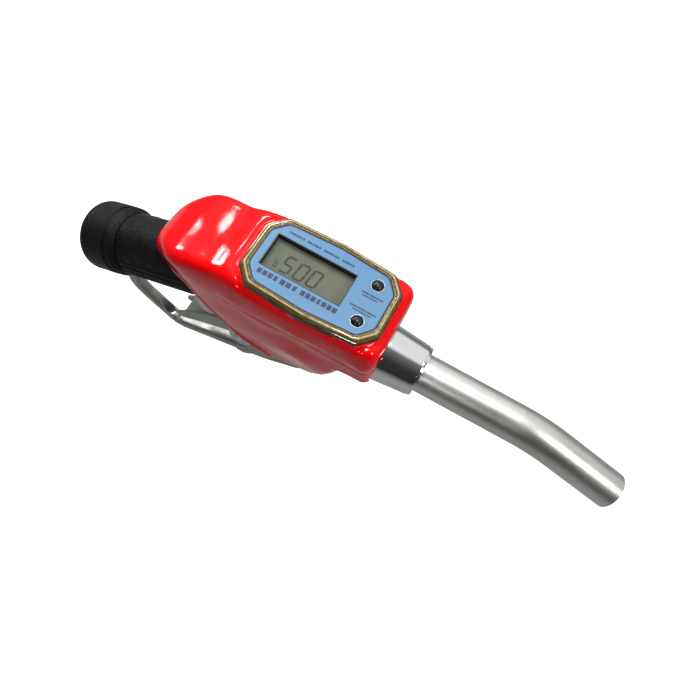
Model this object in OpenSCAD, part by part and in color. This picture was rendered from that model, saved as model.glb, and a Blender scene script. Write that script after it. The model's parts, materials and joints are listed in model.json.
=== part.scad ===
// Hand-held fuel dispensing nozzle with a battery-powered turbine flow meter in its body.
// The origin is the centre of the hose inlet's mouth. +X runs towards the spout, +Z is up,
// out of the meter's display, and the nozzle is symmetric about the plane Y = 0.

/* [Handle] */
// Angle of the handle below the spout's axis
handle_tilt = 24; // [20:1:28]
// Radius of the black grip sleeve
sleeve_r = 19.5; // [18:0.5:20]
// Radius of the end knob around the hose inlet
knob_r = 22.3; // [22:0.1:24]
// Length of the end knob along the handle
knob_len = 30; // [29:0.5:30]
// Distance along the handle where the grip sleeve stops
sleeve_end = 84; // [80:1:86]
// Tapping radius of the hose thread (3/4 inch pipe thread)
hose_thread_r = 12.1; // [12:0.05:12.3]

/* [Valve] */
// Place of the upright valve axis along X
valve_x = 84; // [83:1:85]
// Radius of the valve stem
stem_r = 3.5; // [3:0.25:4]
// Height of the valve seat's top face
seat_z = 45; // [44:0.5:46]

/* [Lever] */
// Place of the lever's pivot along X
pivot_x = 106; // [105:1:107]
// Height of the lever's pivot
pivot_z = -20; // [-21:0.5:-19]
// Radius of the lever's pivot pin
pivot_pin_r = 3; // [2.5:0.25:3.5]
// Half width of the lever
lever_half_w = 8; // [7:0.5:8.5]

/* [Meter] */
// Height of the meter's and the spout's axis
flow_z = 44.5; // [44:0.5:45]
// Place of the meter panel's centre along X
panel_x = 150; // [149:1:151]
// Length of the clear faceplate
panel_len = 84.8; // [84:0.2:86]
// Width of the clear faceplate at its ends
panel_w = 49.2; // [48:0.2:49.6]
// Radius of the turbine's flow bore
flow_r = 13; // [12:0.5:13.5]
// Height of the printed label's face
label_z = 88.5; // [88:0.5:89]
// Radius of a panel button
button_r = 3.3; // [3:0.1:3.5]

/* [Spout] */
// Outer radius of the spout
spout_r = 12; // [11.5:0.5:12.5]
// Wall of the spout
spout_wall = 1.5; // [1.2:0.1:2]
// Front end of the spout's collar along X
collar_front_x = 221.5; // [219:0.5:224]
// Angle of the spout's bend
spout_bend = 19; // [15:1:25]
// Radius of the spout's bend at its centre line
spout_bend_r = 90; // [80:5:120]
// Length of the spout past the corner of its bend
spout_tip_len = 60.5; // [55:0.5:66]

/* [Cover] */
// Wall of the red vinyl cover
cover_wall = 2.2; // [1.8:0.1:2.5]

/* [Hidden] */
$fn = 72;

// Clearances
fit_gap = 0.05;          // running fit, on the radius
touch_gap = 0.3;         // between pieces that only lie side by side
cut = 1;                 // how far a cutting shape runs past a face

// Handle, as distances along its axis
tube_r = 16.4;
boss_r = 18.4;
boss_len = 26;
handle_tube_end = 76;
knob_rear = -4;
knob_round = 6.5;
knob_chamfer = 3.2;
handle_bore_r = 11;
duct = [[46, 22], [74, 54]];
duct_r = 11;
handle_bore_end = 57;
swivel_r = 15.6;
swivel_len = 25;
swivel_circlip_s = 3;
strainer_r = 9.5;
strainer_seat = 17.5;
strainer_flange_r = 10.8;
knob_mouth_r = swivel_r + 0.4;

// Valve, as heights on its axis
chamber_r = 20;
chamber_low_r = 15;
chamber_step = 37;
chamber_bottom = 2;
chamber_top = 66;
lower_room_r = 12;
lower_room_z = [14, 41];
upper_room_r = 16;
seat_h = 4;
poppet_r = 13;
poppet_seal_h = 1.6;
poppet_h = 4;
cap_flange_h = 5;
spring_room_r = 9;
spring_top = 69;
stem_low_z = -14;
stem_top_z = 55;

// Lever and its fork
lever_hub_r = 6;
cheek_t = 3.6;
cheek_gap = 0.4;
pad_r = 5.7;
lever_skin = 3;
lever_web = 2.4;

// Guard's front joint under the keel
keel_bottom = -26;
guard_pad_h = 7;
guard_seat_z = keel_bottom - 4;
guard_screw_x = [133, 144];
guard_head = [4.5, 4.5];

// Meter
meter_x = [109, 194.6];
meter_half_w = 22.8;
meter_len = meter_x[1] - meter_x[0];
meter_top = 81;
flow_wall_r = 17.2;
meter_round = 4;
well_z = 61.5;
well_x = [114.5, 185.5];
well_half_w = 20;
spigot_r = 15;
spigot_end = 124;
rotor_x = 156;
rotor_r = 12.6;
hub_r = 5;
shaft_r = 1.5;
faceplate_z = [82.3, 89.3];
rim_w = 4.3;
panel_bow = 1.9;
panel_corner = [9, 10];
lcd_size = [49, 22.2];
lcd_x = panel_x - 9;
lcd_y = 1;
button_x = panel_x + 27.5;
button_y = 12.3;
board_z = 76;

// Spout
collar_x = [194.9, collar_front_x];
collar_root_r = 18;
collar_lip_r = 15.8;
bend_x = 299.3;

// Turns a child that stands along Z to lie along the handle, with its foot at the origin.
module along_handle(s = 0) {
    rotate([0, 90 - handle_tilt, 0]) translate([0, 0, s]) children();
}

// Turns a child that stands along Z to lie along +X at the meter's axis.
module along_flow(x = 0) {
    translate([x, 0, flow_z]) rotate([0, 90, 0]) children();
}

// A tube that stands on Z = 0.
module ring(outer, inner, h) {
    difference() {
        cylinder(r = outer, h = h);
        translate([0, 0, -cut]) cylinder(r = inner, h = h + 2 * cut);
    }
}

// A round-section ring lying in the XY plane.
module o_ring(mid_r, wire_r) {
    rotate_extrude() translate([mid_r, 0]) circle(r = wire_r, $fn = 24);
}

// A straight round bar between two points of the plane Y = 0.
module bar(from, to, r) {
    run = to[0] - from[0];
    rise = to[1] - from[1];
    translate([from[0], 0, from[1]]) rotate([0, atan2(run, rise), 0])
        cylinder(r = r, h = sqrt(run * run + rise * rise));
}

// Extrudes an outline of the XZ plane over a width centred on Y = 0.
module side_plate(points, half_w) {
    translate([0, half_w, 0]) rotate([90, 0, 0]) linear_extrude(height = 2 * half_w) polygon(points);
}

// Long octagon of the meter's panel, bowed at the middle of its long sides.
module panel_outline(grow = 0) {
    a = panel_len / 2 + grow;
    b = panel_w / 2 + grow;
    c = [panel_corner[0] + 0.4 * grow, panel_corner[1] + 0.4 * grow];
    polygon([[a - c[0], b], [0, b + panel_bow], [c[0] - a, b], [-a, b - c[1]], [-a, c[1] - b],
             [c[0] - a, -b], [0, -b - panel_bow], [a - c[0], -b], [a, c[1] - b], [a, b - c[1]]]);
}

// Aluminium casting: handle tube, valve chamber, lever fork and the keel that carries the guard.
module nozzle_body() {
    color("silver") difference() {
        union() {
            along_handle() cylinder(r = boss_r, h = boss_len);
            along_handle(boss_len - cut) cylinder(r = tube_r, h = handle_tube_end - boss_len + cut);
            bar(duct[0], duct[1], duct_r);
            valve_chamber(0);
            along_flow(valve_x) cylinder(r = 17.5, h = meter_x[0] - valve_x);
            along_flow(meter_x[0] - cut) cylinder(r = spigot_r, h = spigot_end - meter_x[0] + cut);
            bar([91, 20], [101, 30.65], 11.5);
            keel();
            lever_fork();
        }
        inlet_passage();
        valve_passages();
        guard_screw_holes();
    }
}

// Outside of the valve chamber: a narrow lower part and a wide upper part.
module valve_chamber(grow) {
    translate([valve_x, 0, chamber_bottom - grow]) cylinder(r = chamber_low_r + grow, h = 40);
    translate([valve_x, 0, chamber_step - grow]) cylinder(r = chamber_r + grow, h = chamber_top - chamber_step + grow);
}

// Web under the meter that the guard bolts to.
module keel() {
    side_plate([[92, 26], [92, 8], [120, 2], [122, -16], [127, keel_bottom], [150, keel_bottom], [157, -15],
                [165, 0], [168, 26.5]], 7.5);
}

// Two cheeks that hold the lever's pivot pin.
module lever_fork() {
    side = lever_half_w + cheek_gap;
    for (turn = [0, 180]) mirror([0, turn / 180, 0]) translate([0, side, 0]) difference() {
        rotate([90, 0, 0]) mirror([0, 0, 1]) linear_extrude(height = cheek_t) union() {
            translate([pivot_x, pivot_z]) circle(r = 8);
            polygon([[pivot_x - 8, pivot_z], [pivot_x - 12, 10], [pivot_x + 22, 10],
                     [pivot_x + 22, -12], [pivot_x + 8, pivot_z]]);
        }
        translate([pivot_x, -cut, pivot_z]) rotate([-90, 0, 0])
            cylinder(r = pivot_pin_r, h = cheek_t + 2 * cut);
    }
    translate([valve_x + 8, -side - cheek_t, 2]) cube([pivot_x + 14 - valve_x, 2 * (side + cheek_t), 8]);
}

// Seat of the swivel, the circlip's groove and the bore of the handle.
module inlet_passage() {
    along_handle(-cut) cylinder(r = swivel_r + fit_gap, h = swivel_len + 0.5 + cut);
    along_handle(swivel_circlip_s) cylinder(r = swivel_r + 1.2, h = 1.5);
    along_handle(0) cylinder(r = handle_bore_r, h = handle_bore_end);
    bar([48, 21.5], [74, 56], 7.5);
}

// Rooms above and below the valve seat, the gland and the way forward to the meter.
module valve_passages() {
    translate([valve_x, 0, lower_room_z[0]]) cylinder(r = lower_room_r, h = lower_room_z[1] - lower_room_z[0]);
    translate([valve_x, 0, lower_room_z[1] - cut]) cylinder(r = 9, h = 10);
    translate([valve_x, 0, seat_z - seat_h]) cylinder(r = 14.5, h = seat_h + cut);
    translate([valve_x, 0, seat_z]) cylinder(r = upper_room_r, h = chamber_top - seat_z + cut);
    translate([valve_x, 0, chamber_bottom - cut]) cylinder(r = stem_r + 0.5, h = 14);
    translate([valve_x, 0, chamber_bottom - cut]) cylinder(r = 7, h = 9 + cut);
    bar([91, 20], [114, 44.5], 8);
    along_flow(110) cylinder(r = 12, h = spigot_end - 110 + cut);
}

// Tapped holes in the keel for the guard's two front screws.
module guard_screw_holes() {
    for (x = guard_screw_x) translate([x, 0, keel_bottom - cut]) cylinder(r = 2.5, h = 16);
    along_handle(9) rotate([0, 90, 0]) translate([0, 0, 16.4]) cylinder(r = 2.5, h = 6);
}

// Black moulded grip over the handle. Its front reaches forward on both sides of the valve chamber.
module handle_sleeve() {
    color([0.05, 0.05, 0.05]) difference() {
        union() {
            along_handle(boss_len + touch_gap)
                cylinder(r = sleeve_r - 0.8, h = sleeve_end - boss_len - touch_gap);
            along_handle(boss_len + 3) cylinder(r = sleeve_r, h = sleeve_end - boss_len - 6);
        }
        along_handle(boss_len - cut) cylinder(r = tube_r, h = sleeve_end);
        bar(duct[0], duct[1], duct_r);
        valve_chamber(touch_gap);
    }
}

// Black end knob, pressed over the casting's rear boss, with a lip around the swivel.
module end_knob() {
    color([0.06, 0.06, 0.06]) difference() {
        along_handle(0) rotate_extrude() difference() {
            union() {
                translate([knob_mouth_r, knob_rear + knob_round])
                    square([knob_r - knob_mouth_r, knob_len - knob_round]);
                translate([knob_r - knob_round, knob_rear + knob_round]) circle(r = knob_round);
            }
            square([boss_r, knob_rear + knob_len + cut]);
            translate([0, knob_rear - cut]) square([knob_mouth_r, knob_len]);
            translate([knob_r, knob_rear + knob_len - knob_chamfer]) rotate(45) square(knob_len);
        }
        guard_leg_slot();
    }
}

// Slot through the end knob for the guard's rear foot.
module guard_leg_slot() {
    along_handle(2) translate([boss_r - 1, -6, 0]) cube([8, 12, 14]);
}

// Steel swivel with the hose's female thread.
module inlet_swivel() {
    color([0.7, 0.7, 0.72]) along_handle() {
        rotate_extrude() polygon([[hose_thread_r, 0], [swivel_r - 1.4, 0], [swivel_r - 1.4, 4.9],
            [swivel_r, 4.9], [swivel_r, 10], [swivel_r - 1.4, 10], [swivel_r - 1.4, 12.2], [swivel_r, 12.2],
            [swivel_r, 16], [swivel_r - 1.4, 16], [swivel_r - 1.4, 18.2], [swivel_r, 18.2],
            [swivel_r, swivel_len], [strainer_r, swivel_len], [strainer_r, strainer_seat + 1.2],
            [strainer_flange_r + 0.2, strainer_seat + 1.2], [strainer_flange_r + 0.2, strainer_seat],
            [hose_thread_r, strainer_seat]]);
    }
}

// Two O-rings in the swivel's grooves.
module swivel_o_rings() {
    color([0.1, 0.1, 0.1]) for (s = [11.1, 17.1])
        along_handle(s) rotate_extrude() translate([swivel_r - 0.7, 0]) circle(r = 0.68, $fn = 24);
}

// Retaining ring that keeps the swivel in the handle.
module swivel_circlip() {
    color([0.5, 0.5, 0.52]) along_handle(swivel_circlip_s + 0.1) difference() {
        ring(swivel_r + 1.1, swivel_r - 1.1, 1.3);
        rotate([0, 0, 180]) translate([0, -3, -cut]) cube([20, 6, 4]);
    }
}

// Bronze strainer cup that catches grit behind the hose thread.
module inlet_strainer() {
    color([0.7, 0.55, 0.3]) along_handle(strainer_seat + 0.2) difference() {
        union() {
            cylinder(r = strainer_flange_r, h = 1);
            cylinder(r = strainer_r - 0.2, h = 28);
        }
        translate([0, 0, -cut]) cylinder(r = strainer_r - 1.2, h = 27 + cut);
        for (low = [10.5, 18.5]) for (turn = [0:7]) rotate([0, 0, 45 * turn + low])
            translate([6, -1.1, low]) cube([6, 2.2, 6.5]);
    }
}

// Lever of cast aluminium: a channel open downwards, with a hub on the pivot.
module lever() {
    color("lightgray") difference() {
        union() {
            side_plate(lever_top(), lever_half_w);
            for (side = [-1, 1]) translate([0, side * (lever_half_w - lever_web / 2), 0])
                side_plate(lever_flange(), lever_web / 2);
            translate([pivot_x, lever_half_w, pivot_z]) rotate([90, 0, 0])
                cylinder(r = lever_hub_r, h = 2 * lever_half_w);
            translate([valve_x, lever_half_w - lever_web, pivot_z]) rotate([90, 0, 0])
                cylinder(r = pad_r, h = 2 * (lever_half_w - lever_web));
        }
        translate([pivot_x, lever_half_w + cut, pivot_z]) rotate([90, 0, 0])
            cylinder(r = pivot_pin_r + fit_gap, h = 2 * (lever_half_w + cut));
    }
}

// Outline of the lever's top plate, from its rear end to its hub.
function lever_top() = [[57.5, -40], [60, -36.2], [66, -30], [72, -24.6], [78, -19.6], [84, -15.6], [91, -13.6],
    [99, -13.9], [pivot_x, pivot_z + lever_hub_r], [pivot_x, pivot_z + 2], [99, -17.4], [91, -17], [84, -18.8],
    [78, -22.8], [72, -27.8], [66, -33.2], [61.5, -38], [59.5, -42.5], [57, -42]];

// Outline of one of the lever's side flanges.
function lever_flange() = [[52, -47], [51.5, -44], [56, -40.5], [60, -37.2], [66, -31], [72, -25.6], [78, -20.6],
    [84, -16.6], [91, -14.6], [99, -14.9], [pivot_x, pivot_z + 5], [pivot_x, pivot_z - 5], [98, -27],
    [88, -31], [76, -37], [66, -43], [57, -48.5], [53, -48.8]];

// Steel pin that the lever turns on.
module lever_pivot_pin() {
    half = lever_half_w + cheek_gap + cheek_t;
    color([0.75, 0.75, 0.78]) translate([pivot_x, half + 0.5, pivot_z]) rotate([90, 0, 0]) difference() {
        cylinder(r = pivot_pin_r, h = 2 * half + 1);
        for (z = [0, 2 * half + 0.2]) translate([0, 0, z]) ring(pivot_pin_r + cut, pivot_pin_r - 0.7, 0.8);
    }
}

// Push-on clips in the grooves at the pin's two ends.
module pivot_pin_clips() {
    half = lever_half_w + cheek_gap + cheek_t;
    color([0.35, 0.35, 0.36]) for (side = [-1, 1]) translate([pivot_x, side * (half + 0.1), pivot_z])
        rotate([-90 * side, 0, 0]) ring(pivot_pin_r + 1.6, pivot_pin_r - 0.6, 0.3);
}

// Cast guard bar around the fingers, from the end knob to the keel.
module lever_guard() {
    color([0.62, 0.63, 0.6]) difference() {
        union() {
            guard_path = [[18.6, -18.4], [14, -34], [16.5, -48], [32, -63.5], [48, -76.5]];
            for (i = [0:len(guard_path) - 2]) hull() for (p = [guard_path[i], guard_path[i + 1]])
                translate([p[0], 4.2, p[1]]) rotate([90, 0, 0]) cylinder(r = 4, h = 8.4, $fn = 32);
            hull() {
                translate([48, 4.2, -76.5]) rotate([90, 0, 0]) cylinder(r = 4, h = 8.4, $fn = 32);
                translate([104, 5.4, -54.2]) rotate([90, 0, 0]) cylinder(r = 4.1, h = 10.8, $fn = 32);
            }
            hull() {
                translate([104, 5.4, -54.2]) rotate([90, 0, 0]) cylinder(r = 4.1, h = 10.8, $fn = 32);
                translate([127, -6.5, keel_bottom - guard_pad_h]) cube([23, 13, guard_pad_h]);
            }
            along_handle(4) translate([boss_r, -5, 0]) cube([4.5, 10, 11]);
        }
        for (x = guard_screw_x) {
            translate([x, 0, guard_seat_z - cut]) cylinder(r = 2.7, h = 12);
            translate([x, 0, guard_seat_z - 20]) cylinder(r = guard_head[0] + 0.5, h = 20);
        }
        along_handle(9) rotate([0, 90, 0]) {
            translate([0, 0, boss_r - cut]) cylinder(r = 2.6, h = 12);
            translate([0, 0, 25]) cylinder(r = 3.1, h = 12);
        }
    }
}

// Screws that hold the guard: two under the keel, one under the end knob.
module guard_screws() {
    color([0.55, 0.55, 0.57]) {
        for (x = guard_screw_x) translate([x, 0, guard_seat_z - guard_head[1]])
            cap_screw(2.45, 22, guard_head[0], guard_head[1]);
        along_handle(9) rotate([0, 90, 0]) translate([0, 0, 27]) mirror([0, 0, 1]) cap_screw(2.45, 9.9, 3, 2);
    }
}

// Socket-head screw that stands on its head at Z = 0.
module cap_screw(r, length, head_r, head_h) {
    difference() {
        union() {
            cylinder(r = head_r, h = head_h);
            cylinder(r = r, h = length);
        }
        translate([0, 0, -cut]) cylinder(r = 0.55 * head_r, h = cut + 0.6 * head_h, $fn = 6);
    }
}

// Steel stem that the lever pushes up.
module valve_stem() {
    color([0.78, 0.78, 0.8]) translate([valve_x, 0, 0]) {
        translate([0, 0, stem_low_z]) cylinder(r = stem_r, h = seat_z + poppet_seal_h - stem_low_z);
        translate([0, 0, seat_z]) cylinder(r = 2.5, h = stem_top_z - seat_z);
    }
}

// Nut that clamps the poppet to the stem.
module stem_nut() {
    color([0.6, 0.6, 0.62]) translate([valve_x, 0, seat_z + poppet_seal_h + poppet_h]) difference() {
        cylinder(r = 5, h = 3.2, $fn = 6);
        translate([0, 0, -cut]) cylinder(r = 2.5, h = 6);
    }
}

// Brass disc that closes the valve seat.
module valve_poppet() {
    color([0.78, 0.62, 0.3]) translate([valve_x, 0, seat_z + poppet_seal_h]) difference() {
        union() {
            cylinder(r = poppet_r, h = 2.4);
            cylinder(r = 9, h = poppet_h);
        }
        translate([0, 0, -cut]) cylinder(r = 2.5, h = 8);
    }
}

// Rubber washer under the poppet.
module poppet_seal() {
    color([0.12, 0.12, 0.12]) translate([valve_x, 0, seat_z]) ring(poppet_r - 0.5, stem_r, poppet_seal_h);
}

// Brass seat pressed into the casting's web.
module valve_seat() {
    color([0.8, 0.65, 0.33]) translate([valve_x, 0, seat_z - seat_h]) ring(14.4, 9, seat_h);
}

// Compression spring between the poppet and the cap.
module valve_spring() {
    low = seat_z + poppet_seal_h + poppet_h;
    color([0.6, 0.6, 0.62]) translate([valve_x, 0, low]) coil(7.3, 0.75, spring_top - low, 5.5);
}

// A coil spring that stands on Z = 0, swept along its helix.
module coil(mid_r, wire_r, height, turns) {
    sides = 8;
    rings = floor(turns * 18);
    rise = height - 2 * wire_r;
    points = [for (i = [0:rings]) for (j = [0:sides - 1])
        let (turn = 360 * turns * i / rings, a = 360 * j / sides, out = mid_r + wire_r * cos(a))
        [out * cos(turn), out * sin(turn), wire_r + rise * i / rings + wire_r * sin(a)]];
    skin = [for (i = [0:rings - 1]) for (j = [0:sides - 1])
        let (k = (j + 1) % sides)
        [i * sides + j, (i + 1) * sides + j, (i + 1) * sides + k, i * sides + k]];
    ends = [[for (j = [0:sides - 1]) j], [for (j = [0:sides - 1]) rings * sides + sides - 1 - j]];
    polyhedron(points, concat(skin, ends), convexity = 10);
}

// Threaded cap over the valve chamber.
module valve_cap() {
    color([0.72, 0.72, 0.74]) translate([valve_x, 0, 0]) difference() {
        union() {
            translate([0, 0, 61]) cylinder(r = upper_room_r - 0.05, h = 6);
            translate([0, 0, chamber_top]) rotate([0, 0, 30]) cylinder(r = 19.2, h = cap_flange_h, $fn = 6);
            translate([0, 0, chamber_top]) cylinder(r = 18.9, h = 1.8);
        }
        translate([0, 0, 60]) cylinder(r = spring_room_r, h = spring_top - 60);
        translate([0, 0, chamber_top - cut]) ring(18.4, 16.8, cut + 1.4);
    }
}

// O-ring under the cap's flange.
module valve_cap_o_ring() {
    color([0.1, 0.1, 0.1]) translate([valve_x, 0, chamber_top + 0.7]) o_ring(17.6, 0.68);
}

// Packing that seals the stem.
module stem_packing() {
    color([0.9, 0.9, 0.86]) translate([valve_x, 0, 6]) ring(6.95, stem_r + fit_gap, 4);
}

// Brass gland nut under the packing.
module packing_nut() {
    color([0.78, 0.62, 0.3]) translate([valve_x, 0, -2]) difference() {
        union() {
            cylinder(r = 9, h = 4, $fn = 6);
            cylinder(r = 6.95, h = 8);
        }
        translate([0, 0, -cut]) cylinder(r = stem_r + 0.25, h = 12);
    }
}

// Cast housing of the meter: the flow bore below, a well for the electronics above.
module meter_body() {
    color([0.68, 0.69, 0.7]) difference() {
        union() {
            along_flow(meter_x[0]) cylinder(r = flow_wall_r, h = meter_len);
            hull() for (side = [-1, 1]) for (place = [[meter_half_w, meter_top], [meter_half_w, 66], [19.5, 52]])
                translate([meter_x[0], side * (place[0] - meter_round), place[1] - meter_round])
                    rotate([0, 90, 0]) cylinder(r = meter_round, h = meter_len, $fn = 32);
            translate([panel_x, 0, 76]) linear_extrude(height = faceplate_z[0] - 1 - 76) panel_outline(-1.9);
        }
        along_flow(meter_x[0] - cut) cylinder(r = spigot_r + fit_gap, h = 126 - meter_x[0] + cut);
        along_flow(meter_x[0]) cylinder(r = flow_r, h = 100);
        along_flow(186.5) cylinder(r = 15, h = 20);
        for (x = circlip_x) along_flow(x) cylinder(r = flow_r + 0.7, h = 1.4);
        electronics_well();
        translate([rotor_x, 0, 59.3]) cylinder(r = 4.6, h = 10);
        for (place = screw_places) translate([place[0], place[1], 68]) cylinder(r = 1.1, h = 20);
    }
}
circlip_x = [134.6, 176];
screw_places = [for (sx = [-1, 1]) for (sy = [-1, 1]) [panel_x + 18 * sx, 18.3 * sy]];

// Hollow for the batteries and the board, with a post for each faceplate screw.
module electronics_well() {
    difference() {
        translate([well_x[0], -well_half_w, well_z])
            cube([well_x[1] - well_x[0], 2 * well_half_w, 30]);
        for (place = screw_places) translate([place[0], place[1], well_z - cut])
            cylinder(r = 2.9, h = faceplate_z[0] - 1 - well_z + cut);
        for (sx = [-1, 1]) for (sy = [-1, 1]) translate([panel_x + 31 * sx, 16 * sy, well_z - cut])
            cylinder(r = 2, h = board_z - well_z + cut);
    }
}

// O-ring at the joint of the valve casting and the meter.
module meter_joint_o_ring() {
    color([0.1, 0.1, 0.1]) along_flow(125) o_ring(14.05, 0.93);
}

// Three straight vanes and a hub in a ring that fits the flow bore.
module straightener(x) {
    along_flow(x) difference() {
        union() {
            ring(flow_r - 0.02, flow_r - 1.2, 12);
            cylinder(r = hub_r - 0.4, h = 12);
            for (turn = [0:3]) rotate([0, 0, 45 + 90 * turn]) translate([3, -0.6, 0]) cube([9.3, 1.2, 12]);
        }
        translate([0, 0, -cut]) cylinder(r = 2.4, h = 14);
    }
}
module rear_flow_straightener() {
    color([0.9, 0.9, 0.88]) straightener(136);
}
module front_flow_straightener() {
    color([0.9, 0.9, 0.88]) straightener(164);
}

// Hard bushes that the rotor's shaft runs in.
module rotor_bushes() {
    color([0.5, 0.15, 0.2]) for (x = [142, 164]) along_flow(x) ring(2.4, shaft_r + fit_gap, 6);
}

// Rings that hold the straighteners in the bore.
module straightener_circlips() {
    color([0.5, 0.5, 0.52]) for (x = circlip_x) along_flow(x + 0.1) difference() {
        ring(flow_r + 0.6, flow_r - 1.2, 1.2);
        translate([0, -2.5, -cut]) cube([20, 5, 4]);
    }
}

// Turbine rotor: a hub with six slanted blades.
module turbine_rotor() {
    color([0.85, 0.86, 0.88]) along_flow(rotor_x) difference() {
        intersection() {
            union() {
                translate([0, 0, -6.5]) cylinder(r = hub_r, h = 13);
                for (turn = [0:5]) rotate([0, 0, 60 * turn]) rotate([35, 0, 0])
                    translate([3, -0.6, -7]) cube([14, 1.2, 14]);
            }
            translate([0, 0, -6.5]) cylinder(r = rotor_r, h = 13);
        }
        translate([0, 0, -10]) cylinder(r = shaft_r, h = 20);
    }
}

// Shaft that carries the rotor.
module rotor_shaft() {
    color([0.8, 0.8, 0.82]) along_flow(142.6) cylinder(r = shaft_r, h = 27);
}

// Coil that senses the passing blades through the bore's wall.
module pickup_coil() {
    color([0.7, 0.35, 0.15]) translate([rotor_x, 0, 59.4]) {
        cylinder(r = 4.5, h = 1);
        cylinder(r = 3.6, h = 13);
        translate([0, 0, 12]) cylinder(r = 4.5, h = 1);
    }
}

// Printed circuit board.
module circuit_board() {
    color([0.05, 0.3, 0.15]) translate([0, 0, board_z]) difference() {
        translate([well_x[0] + 0.5, 0.5 - well_half_w, 0])
            cube([well_x[1] - well_x[0] - 1, 2 * well_half_w - 1, 1.6]);
        for (place = screw_places) translate([place[0], place[1], -cut]) cylinder(r = 3.2, h = 4);
    }
}

// Tact switches on the board under the two buttons.
module button_switches() {
    color([0.15, 0.15, 0.15]) for (side = [-1, 1]) translate([button_x, side * button_y, board_z + 1.6]) {
        translate([-3, -3, 0]) cube([6, 6, 2.2]);
        cylinder(r = 1.6, h = 3);
    }
}

// Liquid crystal display, standing on the board.
module lcd_module() {
    color([0.55, 0.6, 0.5]) translate([lcd_x - lcd_size[0] / 2, lcd_y - lcd_size[1] / 2, board_z + 1.6])
        cube([lcd_size[0], lcd_size[1], 7.2]);
}

// Two AAA cells in the well.
module batteries() {
    color([0.25, 0.3, 0.35]) for (side = [-1, 1]) translate([125, 10.2 * side, well_z + 5.3])
        rotate([0, 90, 0]) {
            cylinder(r = 5.2, h = 43.5);
            cylinder(r = 1.9, h = 44.5);
        }
}

// Spring-steel contacts at the cells' ends.
module battery_contacts() {
    color([0.8, 0.8, 0.8]) for (x = [124.6, 169.5]) translate([x, -15.4, well_z]) cube([0.4, 30.8, 11]);
}

// Clear faceplate with a bevelled rim that stands above the label.
module faceplate() {
    top = label_z - 0.3;
    color([0.85, 0.82, 0.6, 0.5]) difference() {
        union() {
            translate([panel_x, 0, faceplate_z[0]]) linear_extrude(height = 4.6) panel_outline(0);
            hull() {
                translate([panel_x, 0, faceplate_z[0] + 4.6]) linear_extrude(height = 0.4) panel_outline(0);
                translate([panel_x, 0, faceplate_z[1] - 0.2]) linear_extrude(height = 0.2) panel_outline(-1.8);
            }
        }
        translate([panel_x, 0, top]) linear_extrude(height = 4) panel_outline(-rim_w);
        translate([0, 0, faceplate_z[0] - cut]) linear_extrude(height = cut + 2.9) difference() {
            translate([panel_x, 0]) panel_outline(-6.5);
            for (place = screw_places) translate(place) circle(r = 3.4);
        }
        for (side = [-1, 1]) translate([button_x, side * button_y, 80])
            cylinder(r = button_r + 0.3, h = 12);
        for (place = screw_places) translate([place[0], place[1], 0]) {
            translate([0, 0, 80]) cylinder(r = 1.4, h = 12);
            translate([0, 0, top - 1.6]) cylinder(r = 2.3, h = 4);
        }
    }
}

// Gasket between the faceplate and the housing.
module faceplate_gasket() {
    color([0.12, 0.12, 0.12]) translate([0, 0, faceplate_z[0] - 1]) linear_extrude(height = 1) difference() {
        translate([panel_x, 0]) panel_outline(-1.9);
        translate([well_x[0] + 1, -well_half_w + 1]) square([well_x[1] - well_x[0] - 2, 2 * well_half_w - 2]);
        for (place = screw_places) translate(place) circle(r = 3.2);
    }
}

// Four countersunk screws under the label.
module faceplate_screws() {
    color([0.6, 0.6, 0.62]) for (place = screw_places) translate([place[0], place[1], 0]) {
        translate([0, 0, 72]) cylinder(r = 1.1, h = 15);
        translate([0, 0, label_z - 1.9]) cylinder(r = 2.2, h = 1.4);
    }
}

// Printed label with a window for the display and holes for the buttons.
module face_label() {
    color([0.42, 0.61, 0.82]) translate([0, 0, label_z - 0.3]) linear_extrude(height = 0.3) difference() {
        translate([panel_x, 0]) panel_outline(-rim_w - 0.1);
        translate([lcd_x - lcd_size[0] / 2, lcd_y - lcd_size[1] / 2]) square(lcd_size);
        for (side = [-1, 1]) translate([button_x, side * button_y]) circle(r = button_r + 0.2);
    }
}

// Rubber push button with a flange under the faceplate.
module panel_button(side) {
    color([0.03, 0.03, 0.03]) translate([button_x, side * button_y, 0]) {
        translate([0, 0, 83.2]) cylinder(r = 4.8, h = 1.6);
        translate([0, 0, 83.2]) cylinder(r = button_r, h = 5.4);
        translate([0, 0, 82]) cylinder(r = 2, h = 2);
        intersection() {
            translate([0, 0, 88]) cylinder(r = button_r, h = 4);
            translate([0, 0, 86.2]) sphere(r = 4.1);
        }
    }
}
module display_button() {
    panel_button(1);
}
module calibrate_button() {
    panel_button(-1);
}

// Tapered aluminium collar screwed into the meter's outlet.
module spout_collar() {
    color([0.8, 0.81, 0.82]) difference() {
        along_flow(0) rotate_extrude() polygon([[10.5, 187], [14.95, 187], [14.95, collar_x[0]],
            [collar_root_r, collar_x[0]], [collar_root_r, collar_x[0] + 3], [collar_lip_r + 0.25, collar_x[1] - 2.2],
            [collar_lip_r - 0.4, collar_x[1] - 2], [collar_lip_r - 0.4, collar_x[1] - 1.4],
            [collar_lip_r, collar_x[1] - 1.2], [collar_lip_r - 0.6, collar_x[1]], [spout_r + 0.05, collar_x[1]],
            [spout_r + 0.05, 203], [10.5, 203]]);
        along_flow(207) ring(spout_r + 1.7, spout_r - 2, 2.4);
    }
}

// O-ring between the collar and the spout.
module spout_o_ring() {
    color([0.1, 0.1, 0.1]) along_flow(208.2) o_ring(spout_r + 0.9, 0.78);
}

// Aluminium spout: a straight run, one bend and a straight tip.
module spout_tube() {
    color([0.75, 0.76, 0.76]) difference() {
        spout_run(spout_r, 203, 0);
        spout_run(spout_r - spout_wall, 203 - cut, cut);
    }
}

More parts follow.
